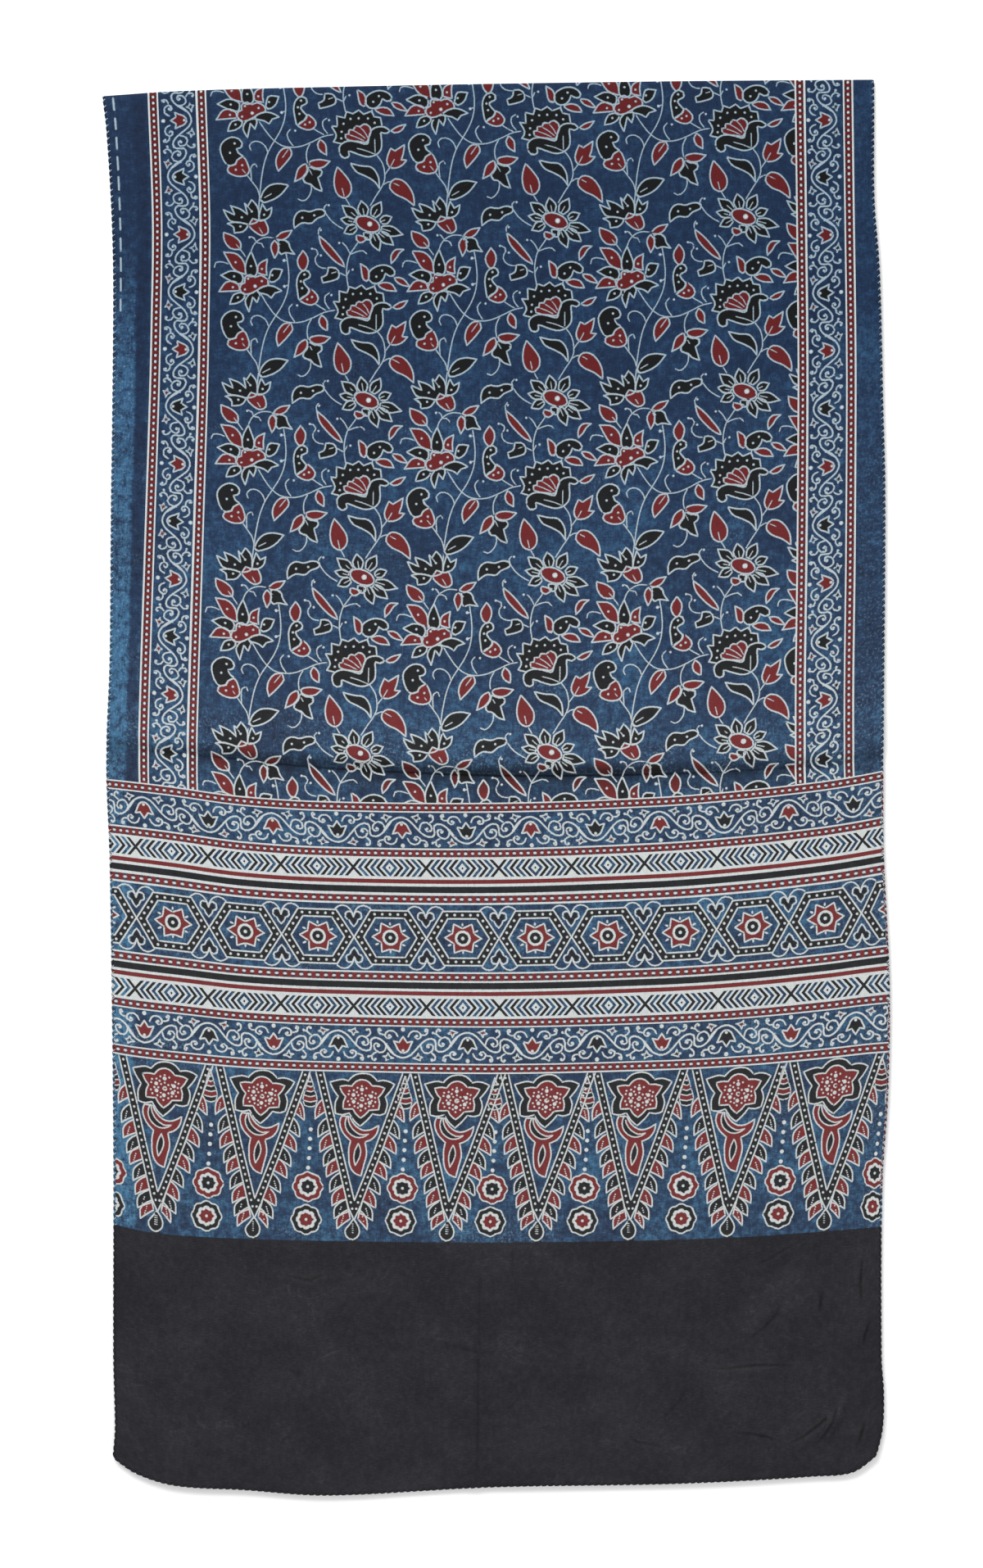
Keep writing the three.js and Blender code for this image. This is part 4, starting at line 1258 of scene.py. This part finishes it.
def printed_cloth_material():
    """Block-printed silk and modal, which has a low sheen."""
    material = bpy.data.materials.new("printed silk")
    material.use_nodes = True
    tree = material.node_tree
    tree.nodes.clear()
    node = functools.partial(add, tree)

    place = node("SeparateXYZ", node("Attribute", attribute_name="flat").outputs["Vector"])
    across, along, fold_strength = place.outputs["X"], place.outputs["Y"], place.outputs["Z"]
    flat = node("CombineXYZ", across, along)
    # The dye creeps a little along the threads, so no edge is quite clean.
    creep = node("TexNoise", into={"Vector": flat, "Scale": 0.9, "Detail": 2.0, "Roughness": 0.6})
    creep = node("Math MULTIPLY", node("Math SUBTRACT", creep, 0.5), 0.7)

    dye = node("SeparateXYZ", node("Attribute", attribute_name="dye").outputs["Vector"])
    past = dye.outputs["Z"]
    on_stripe, printed, black, red, painted_valley_shade = stripes_and_creases(node, creep)
    off_stripe = without(node, on_stripe)
    black_fill = inside(node, node("Math ADD", dye.outputs["Y"], creep), 0.0)
    black = node("Math MULTIPLY_ADD", off_stripe, black_fill, black)
    red_fill = inside(node, node("Math ADD", dye.outputs["X"], creep), 0.0)
    red = node("Math MULTIPLY_ADD", off_stripe, red_fill, red)
    nearest = off_the_strokes(node, creep)
    stroke = node("MapRange", nearest, 0.3, -0.36, 0.0, 1.0, interpolation_type="SMOOTHSTEP")
    white = node("Math MULTIPLY", off_stripe, stroke)
    white = node("Math MULTIPLY_ADD", on_stripe, without(node, printed), white)

    # This share grows along the cloth. It carries the wear of the dye and a painted light gradient, which makes
    # the colours brighter away from the fold.
    wear_and_painted_light = node("MapRange", along, *WEAR_AND_PAINTED_LIGHT, 0.0, 1.0)
    clouds = node("TexNoise", into={"Vector": flat, "Scale": 0.016, "Detail": 4.0, "Roughness": 0.55})
    mottle = node("TexNoise", into={"Vector": flat, "Scale": 0.17, "Detail": 6.0, "Roughness": 0.7})
    weft = node("VectorMath MULTIPLY", flat, (0.35, 1.5, 1))
    weft = node("TexNoise", into={"Vector": weft, "Scale": 0.8, "Detail": 3.0, "Roughness": 0.7})
    warp = node("VectorMath MULTIPLY", flat, (1.5, 0.22, 1))
    warp = node("TexNoise", into={"Vector": warp, "Scale": 0.5, "Detail": 4.0, "Roughness": 0.7})
    indigo, painted_edge_sheen = indigo_dye(node, across, along, wear_and_painted_light, (clouds, mottle, weft, warp))
    is_end = node("Math GREATER_THAN", along, PRINT_END)
    blacks = node("Mix", is_end, linear(IRON_BLACK), linear(CHARCOAL), data_type="RGBA")
    colour = node("Mix", red, indigo, linear(MADDER), data_type="RGBA")
    colour = node("Mix", black, colour, blacks, data_type="RGBA")
    # All the dyes are darkest by the fold, partly for fresher dye and partly as painted shade, and with age
    # they turn a little green.
    dye_depth_and_painted_shade = node("MapRange", wear_and_painted_light, 0.0, 0.9, 0.5, 0.95)
    colour = node("VectorMath SCALE", colour, into={"Scale": dye_depth_and_painted_shade})
    aged = node("Mix", wear_and_painted_light, (1, 1, 1, 1), linear(AGED), data_type="RGBA")
    colour = node("VectorMath MULTIPLY", colour, aged)

    # Fine broken crumples where the cloth has been crushed. They shape the bump, and on the plain end they are
    # also painted in as highlights.
    crushed = node("VectorMath MULTIPLY", flat, (0.6, 1, 1))
    crushed = node("TexNoise", into={
        "Vector": crushed, "Scale": 0.05, "Detail": 4.0, "Roughness": 0.6, "Distortion": 0.8,
    })
    crushed = node("Math ABSOLUTE", node("Math SUBTRACT", crushed, 0.5))
    crumple_and_glint = node("MapRange", crushed, 0.0, 0.012, 1.0, 0.0)
    patch = node("TexNoise", into={"Vector": flat, "Scale": 0.022, "Detail": 3.0, "Roughness": 0.6})
    crumple_and_glint = node("Math MULTIPLY", crumple_and_glint, node("MapRange", patch, 0.48, 0.62, 0.0, 1.0))
    # Pale dust and a painted sheen lie on the cloth: faint on the print and growing along it, and on the plain
    # end as dust in patches and streaks, with painted highlights on the crumples.
    dust_and_sheen = node("MapRange", wear_and_painted_light, 0.1, 1.0, 0.0, 0.04)
    dust_and_sheen = node("Math MULTIPLY", dust_and_sheen, node("Math MULTIPLY", mottle, 2.0))
    patches = node("Math ADD", patch, node("Math MULTIPLY", mottle, 0.7))
    end_dust_and_glint = node("MapRange", patches, 0.7, 1.05, 0.0, 0.022)
    streaks = node("MapRange", weft, 0.4, 0.65, 0.0, 0.022)
    end_dust_and_glint = node("Math MULTIPLY_ADD", streaks, node("MapRange", mottle, 0.4, 0.6, 0.3, 1.0), end_dust_and_glint)
    end_dust_and_glint = node("Math MULTIPLY_ADD", crumple_and_glint, 0.03, end_dust_and_glint)
    dust_and_sheen = node("Mix", is_end, dust_and_sheen, end_dust_and_glint)
    colour = node("Mix", dust_and_sheen, colour, linear(DUST_AND_SHEEN_TINT), data_type="RGBA")

    # Bright flecks, of wear where the face has been rubbed and of painted sheen: on both edges, above the old
    # fold and in patches.
    specks = node("VectorMath MULTIPLY", flat, (1, 0.8, 1))
    specks = node("TexNoise", into={"Vector": specks, "Scale": 0.6, "Detail": 3.0, "Roughness": 0.65})
    specks = node("MapRange", specks, 0.52, 0.72, 0.0, 0.62)
    # Painted sheen above the old fold.
    above = node("MapRange", past, -50.0, -18.0, 0.0, 0.8)
    above = node("Math MULTIPLY", above, node("Math LESS_THAN", past, 0.0))
    above = node("Math MULTIPLY", above, node("MapRange", patch, 0.4, 0.6, 0.1, 1.0))
    rubbed_and_sheen = node("Math MULTIPLY", node("MapRange", patch, 0.52, 0.68, 0.0, 0.9), wear_and_painted_light)
    rubbed_and_sheen = node("Math MAXIMUM", node("Math MAXIMUM", rubbed_and_sheen, above), node("Math MULTIPLY", painted_edge_sheen, 1.7))
    right_edge = node("MapRange", across, PRINT_WIDTH, PRINT_WIDTH + 3, 0.0, 0.6)
    rubbed_and_sheen = node("Math MAXIMUM", rubbed_and_sheen, node("Math MULTIPLY", right_edge, wear_and_painted_light))
    rubbed_and_sheen = node("Math MULTIPLY", rubbed_and_sheen, without(node, node("Math MAXIMUM", black, red)))
    wear_and_sheen_flecks = node("Math MULTIPLY", specks, rubbed_and_sheen)
    colour = node("Mix", wear_and_sheen_flecks, colour, linear(WEAR_AND_SHEEN_FLECK), data_type="RGBA")
    # Painted shade: the valleys of the creases and the old fold darken the colour.
    dark = node("Math MAXIMUM", painted_valley_shade, painted_old_fold_shade(node, past, fold_strength))
    colour = node("VectorMath SCALE", colour, into={"Scale": without(node, dark)})

    # A thin white line takes up some blue from beside it. A dot or a broad line stays whiter.
    broad = node("Math MAXIMUM", on_stripe, node("MapRange", nearest, -0.5, -0.8, 0.0, 1.0))
    # Along the cloth, with the wear and the painted light gradient, the whites grow whiter and stronger.
    broad = node("Math MAXIMUM", broad, wear_and_painted_light)
    resist = node("Mix", broad, linear(RESIST_BLUE), linear(RESIST), data_type="RGBA")
    white = node("Math MULTIPLY", white, node("MapRange", wear_and_painted_light, 0.0, 0.7, 0.84, 0.97))
    colour = node("Mix", white, colour, resist, data_type="RGBA")
    grain = node("MapRange", node("Math ADD", weft, warp), 0.75, 1.25, 0.74, 0.98)
    colour = node("VectorMath SCALE", colour, into={"Scale": grain})

    shader = node("BsdfPrincipled", colour)
    shader.inputs["Roughness"].default_value = 0.6
    shader.inputs["IOR"].default_value = 1.5
    shader.inputs["Specular IOR Level"].default_value = 0.1
    # Threads are about 0.15 mm apart. They are drawn coarser, because a picture of the whole cloth can't hold
    # them.
    relief = node("Math MULTIPLY_ADD", crumple_and_glint, 1.2, node("Math ADD", weft, warp))
    bump = node("Bump", into={"Height": relief, "Strength": 0.4, "Distance": 0.0005})
    tree.links.new(bump.outputs["Normal"], shader.inputs["Normal"])
    node("OutputMaterial", shader)
    return material


# The rolled hem and the thread that is whipped over it, all round the cloth except at its fold. Each stitch
# draws the roll in, which leaves a scallop to the next one.
SCALLOP = 4.7
ROLL_POINTS = 9
THREAD_RADIUS = 0.24
TWIST_END = 815


def edge_path(surface, start, step):
    """Places along the two sides and the end of a half of the cloth, with the ways out and up at each."""
    side = np.linspace(start, HALF_LENGTH, round((HALF_LENGTH - start) / step))
    end = np.linspace(LEFT_EDGE, RIGHT_EDGE, round(STOLE_WIDTH / step))[1:-1]
    across = np.concatenate([np.full(len(side), LEFT_EDGE), end, np.full(len(side), RIGHT_EDGE)])
    along = np.concatenate([side, np.full(len(end), HALF_LENGTH), side[::-1]])
    inner_across = np.clip(across, LEFT_EDGE + 2, RIGHT_EDGE - 2)
    inner_along = np.minimum(along, HALF_LENGTH - 2)
    line = surface(across, along)
    inside = surface(np.where(along < HALF_LENGTH, inner_across, across), inner_along)
    out = line - inside
    for _ in range(4):
        for values in (line, out):
            values[1:-1] = (values[:-2] + 2 * values[1:-1] + values[2:]) / 4
    run = np.gradient(line, axis=0)
    run /= np.linalg.norm(run, axis=1)[:, None]
    out -= run * (out * run).sum(1)[:, None]
    out /= np.linalg.norm(out, axis=1)[:, None]
    up = np.cross(out, run)
    distance = np.concatenate([[0], np.cumsum(np.linalg.norm(np.diff(line, axis=0), axis=1))])
    return across, along, line, out, up, distance


def ring_points(centre, out, up, radius, turn):
    """Points at a turn round a centre, from the way out towards the way up."""
    return centre + out * (radius * np.cos(turn))[..., None] + up * (radius * np.sin(turn))[..., None]


def rolled_hem(name, surface, start, step, radius, sink):
    """The edge of the cloth, rolled tight and drawn in by each stitch."""
    across, along, line, out, up, distance = edge_path(surface, start, step)
    puff = np.abs(np.sin(np.pi * distance / SCALLOP)) ** 0.7
    size = radius * (0.72 + 0.3 * puff)
    centre = line - up * sink + out * (0.55 * puff - 0.3)[:, None]
    turn = np.linspace(0.75 * np.pi, -1.25 * np.pi, ROLL_POINTS)
    sizes, turns = np.broadcast_arrays(size[:, None], turn[None])
    points = ring_points(centre[:, None], out[:, None], up[:, None], sizes, turns)
    mesh = grid_mesh(name, points, False)
    count = len(mesh.polygons)
    a, b = along[:-1], along[1:]
    y = np.repeat(np.stack([a, b, b, a], -1), ROLL_POINTS - 1, 0)
    x = np.repeat(np.repeat(across[:-1, None], 4, 1), ROLL_POINTS - 1, 0)
    stripes = stripe_at(x, y)
    # On the right the rolled print shows as a twist of white, black and red.
    beside_print = (y.mean(-1) > BORDER_END) & (y.mean(-1) < TWIST_END)
    twisted = (x.mean(-1) > PRINT_WIDTH) & beside_print & (stripes[:, 0, 2] == 0)
    round_the_roll = np.stack([turn[:-1], turn[:-1], turn[1:], turn[1:]], -1) * 0.9
    round_the_roll = np.tile(round_the_roll, (len(across) - 1, 1))
    stripes[twisted, :, 0] = (round_the_roll + 1.2 * np.sin(y * 0.9))[twisted]
    stripes[twisted, :, 1] = (y + round_the_roll)[twisted]
    stripes[twisted, :, 2] = DOTTED
    write_values(mesh, "stripe", stripes, "CORNER")
    far = np.zeros((count * 4, 3))
    far[:, 0] = FAR
    for k in range(SLOTS):
        write_values(mesh, f"stroke_{k + 1}", far, "CORNER")
    wide = np.repeat(across, ROLL_POINTS)
    down = np.repeat(along, ROLL_POINTS)
    off_all = np.full_like(down, FAR)
    write_values(mesh, "dye", np.stack([off_all, PRINT_END - down, off_all], -1), "POINT")
    write_values(mesh, "flat", np.stack([wide + np.tile(turn, len(across)), down, 0 * down], -1), "POINT")
    return shown(name, mesh)


def whipped_thread(name, surface, start, radius, sink, direction, points_per_turn=10, sides=4):
    """One thread, wound round the hem from end to end. Its second material is for the part on the print."""
    across, along, line, out, up, distance = edge_path(surface, start, 1.2)
    at = np.arange(0, distance[-1], SCALLOP / points_per_turn)

    def spread(values):
        return np.stack([np.interp(at, distance, values[:, axis]) for axis in range(3)], -1)

    out, up = spread(out), spread(up)
    turn = direction * 2 * np.pi * at / SCALLOP
    centre = ring_points(spread(line) - up * sink, out, up, np.full(len(at), radius), turn)
    run = np.gradient(centre, axis=0)
    run /= np.linalg.norm(run, axis=1)[:, None]
    away = out * np.cos(turn)[:, None] + up * np.sin(turn)[:, None]
    beside = np.cross(run, away)
    angle = np.linspace(0, 2 * np.pi, sides + 1)
    size = np.full((len(at), sides + 1), THREAD_RADIUS)
    points = ring_points(centre[:, None], away[:, None], beside[:, None], size, angle[None] + 0 * at[:, None])
    mesh = grid_mesh(name, points, False)
    on_print = np.repeat(np.interp(at, distance, along)[:-1] < PRINT_END, sides)
    mesh.polygons.foreach_set("material_index", on_print.astype(np.int32))
    return shown(name, mesh)


def thread_material(name, code):
    """Twisted cotton thread: dull, and nearly black except where the blue dye has missed it."""
    material = bpy.data.materials.new(name)
    material.use_nodes = True
    shader = material.node_tree.nodes["Principled BSDF"]
    shader.inputs["Base Color"].default_value = linear(code)
    shader.inputs["Roughness"].default_value = 0.8
    shader.inputs["Specular IOR Level"].default_value = 0.2
    return material


silk = printed_cloth_material()
upper_columns, upper_rows = graduated(COLUMN_STOPS, 2.5), sheet_rows(2.5, 2.8, with_bend=True)
upper = printed_sheet("printed_upper_half", upper_columns, upper_rows, upper_surface, flip=False)
lower_columns, lower_rows = graduated(COLUMN_STOPS, 3.2), sheet_rows(3.2, 6.0, with_bend=False)
lower = printed_sheet("printed_lower_half", lower_columns, lower_rows, lower_surface, flip=True)
for piece in (upper, lower):
    piece.data.materials.append(silk)
    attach(piece, "root")
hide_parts("folded_cloth")

dark_thread = thread_material("dark cotton thread", THREAD)
pale_thread = thread_material("pale cotton thread", PALE_THREAD)
upper_hem = rolled_hem("rolled_hem_upper", upper_surface, start=-4.5, step=1.15, radius=0.85, sink=0.45)
lower_hem = rolled_hem("rolled_hem_lower", lower_surface, start=0.0, step=2.0, radius=0.55, sink=-0.48)
upper_threads = [
    whipped_thread(name, upper_surface, start=-2.0, radius=0.95, sink=0.45, direction=direction)
    for name, direction in (("hem_thread_over", 1), ("hem_thread_back", -1))
]
for piece in (upper_hem, lower_hem):
    piece.data.materials.append(silk)
for piece, second in zip(upper_threads, (dark_thread, pale_thread)):
    piece.data.materials.append(dark_thread)
    piece.data.materials.append(second)
for piece in (upper_hem, lower_hem, *upper_threads):
    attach(piece, "root")


def set_table():
    """A plain pale table top, in metres, just under the cloth."""
    mesh = bpy.data.meshes.new("table_top")
    half, low = 4.0, -0.0004
    square = [(-half, -half, low), (half, -half, low), (half, half, low), (-half, half, low)]
    mesh.from_pydata(square, [], [(0, 1, 2, 3)])
    material = bpy.data.materials.new("pale table")
    material.use_nodes = True
    shader = material.node_tree.nodes["Principled BSDF"]
    shader.inputs["Base Color"].default_value = linear(TABLE)
    shader.inputs["Roughness"].default_value = 0.9
    mesh.materials.append(material)
    shown("table_top", mesh)


def add_light(name, place, size, power, aim=(0, 0, 0)):
    """A soft studio light at a place, aimed at another, both in metres."""
    data = bpy.data.lights.new(name, "AREA")
    data.shape = "RECTANGLE"
    data.size, data.size_y = size
    data.energy = power
    light = bpy.data.objects.new(name, data)
    light.location = place
    light.rotation_mode = "QUATERNION"
    light.rotation_quaternion = (Vector(aim) - Vector(place)).to_track_quat("-Z", "Y")
    bpy.context.scene.collection.objects.link(light)


set_table()
world = bpy.data.worlds.new("soft light")
bpy.context.scene.world = world
world.use_nodes = True
world.node_tree.nodes["Background"].inputs["Color"].default_value = (1, 1, 1, 1)
world.node_tree.nodes["Background"].inputs["Strength"].default_value = 0.62
add_light("top", (-0.9, 2.4, 2.2), (2.4, 1.6), 118)
add_light("low", (0.6, -2.4, 1.8), (2.4, 1.0), 22, (0, -0.3, 0))
bpy.context.scene.view_settings.view_transform = "Standard"
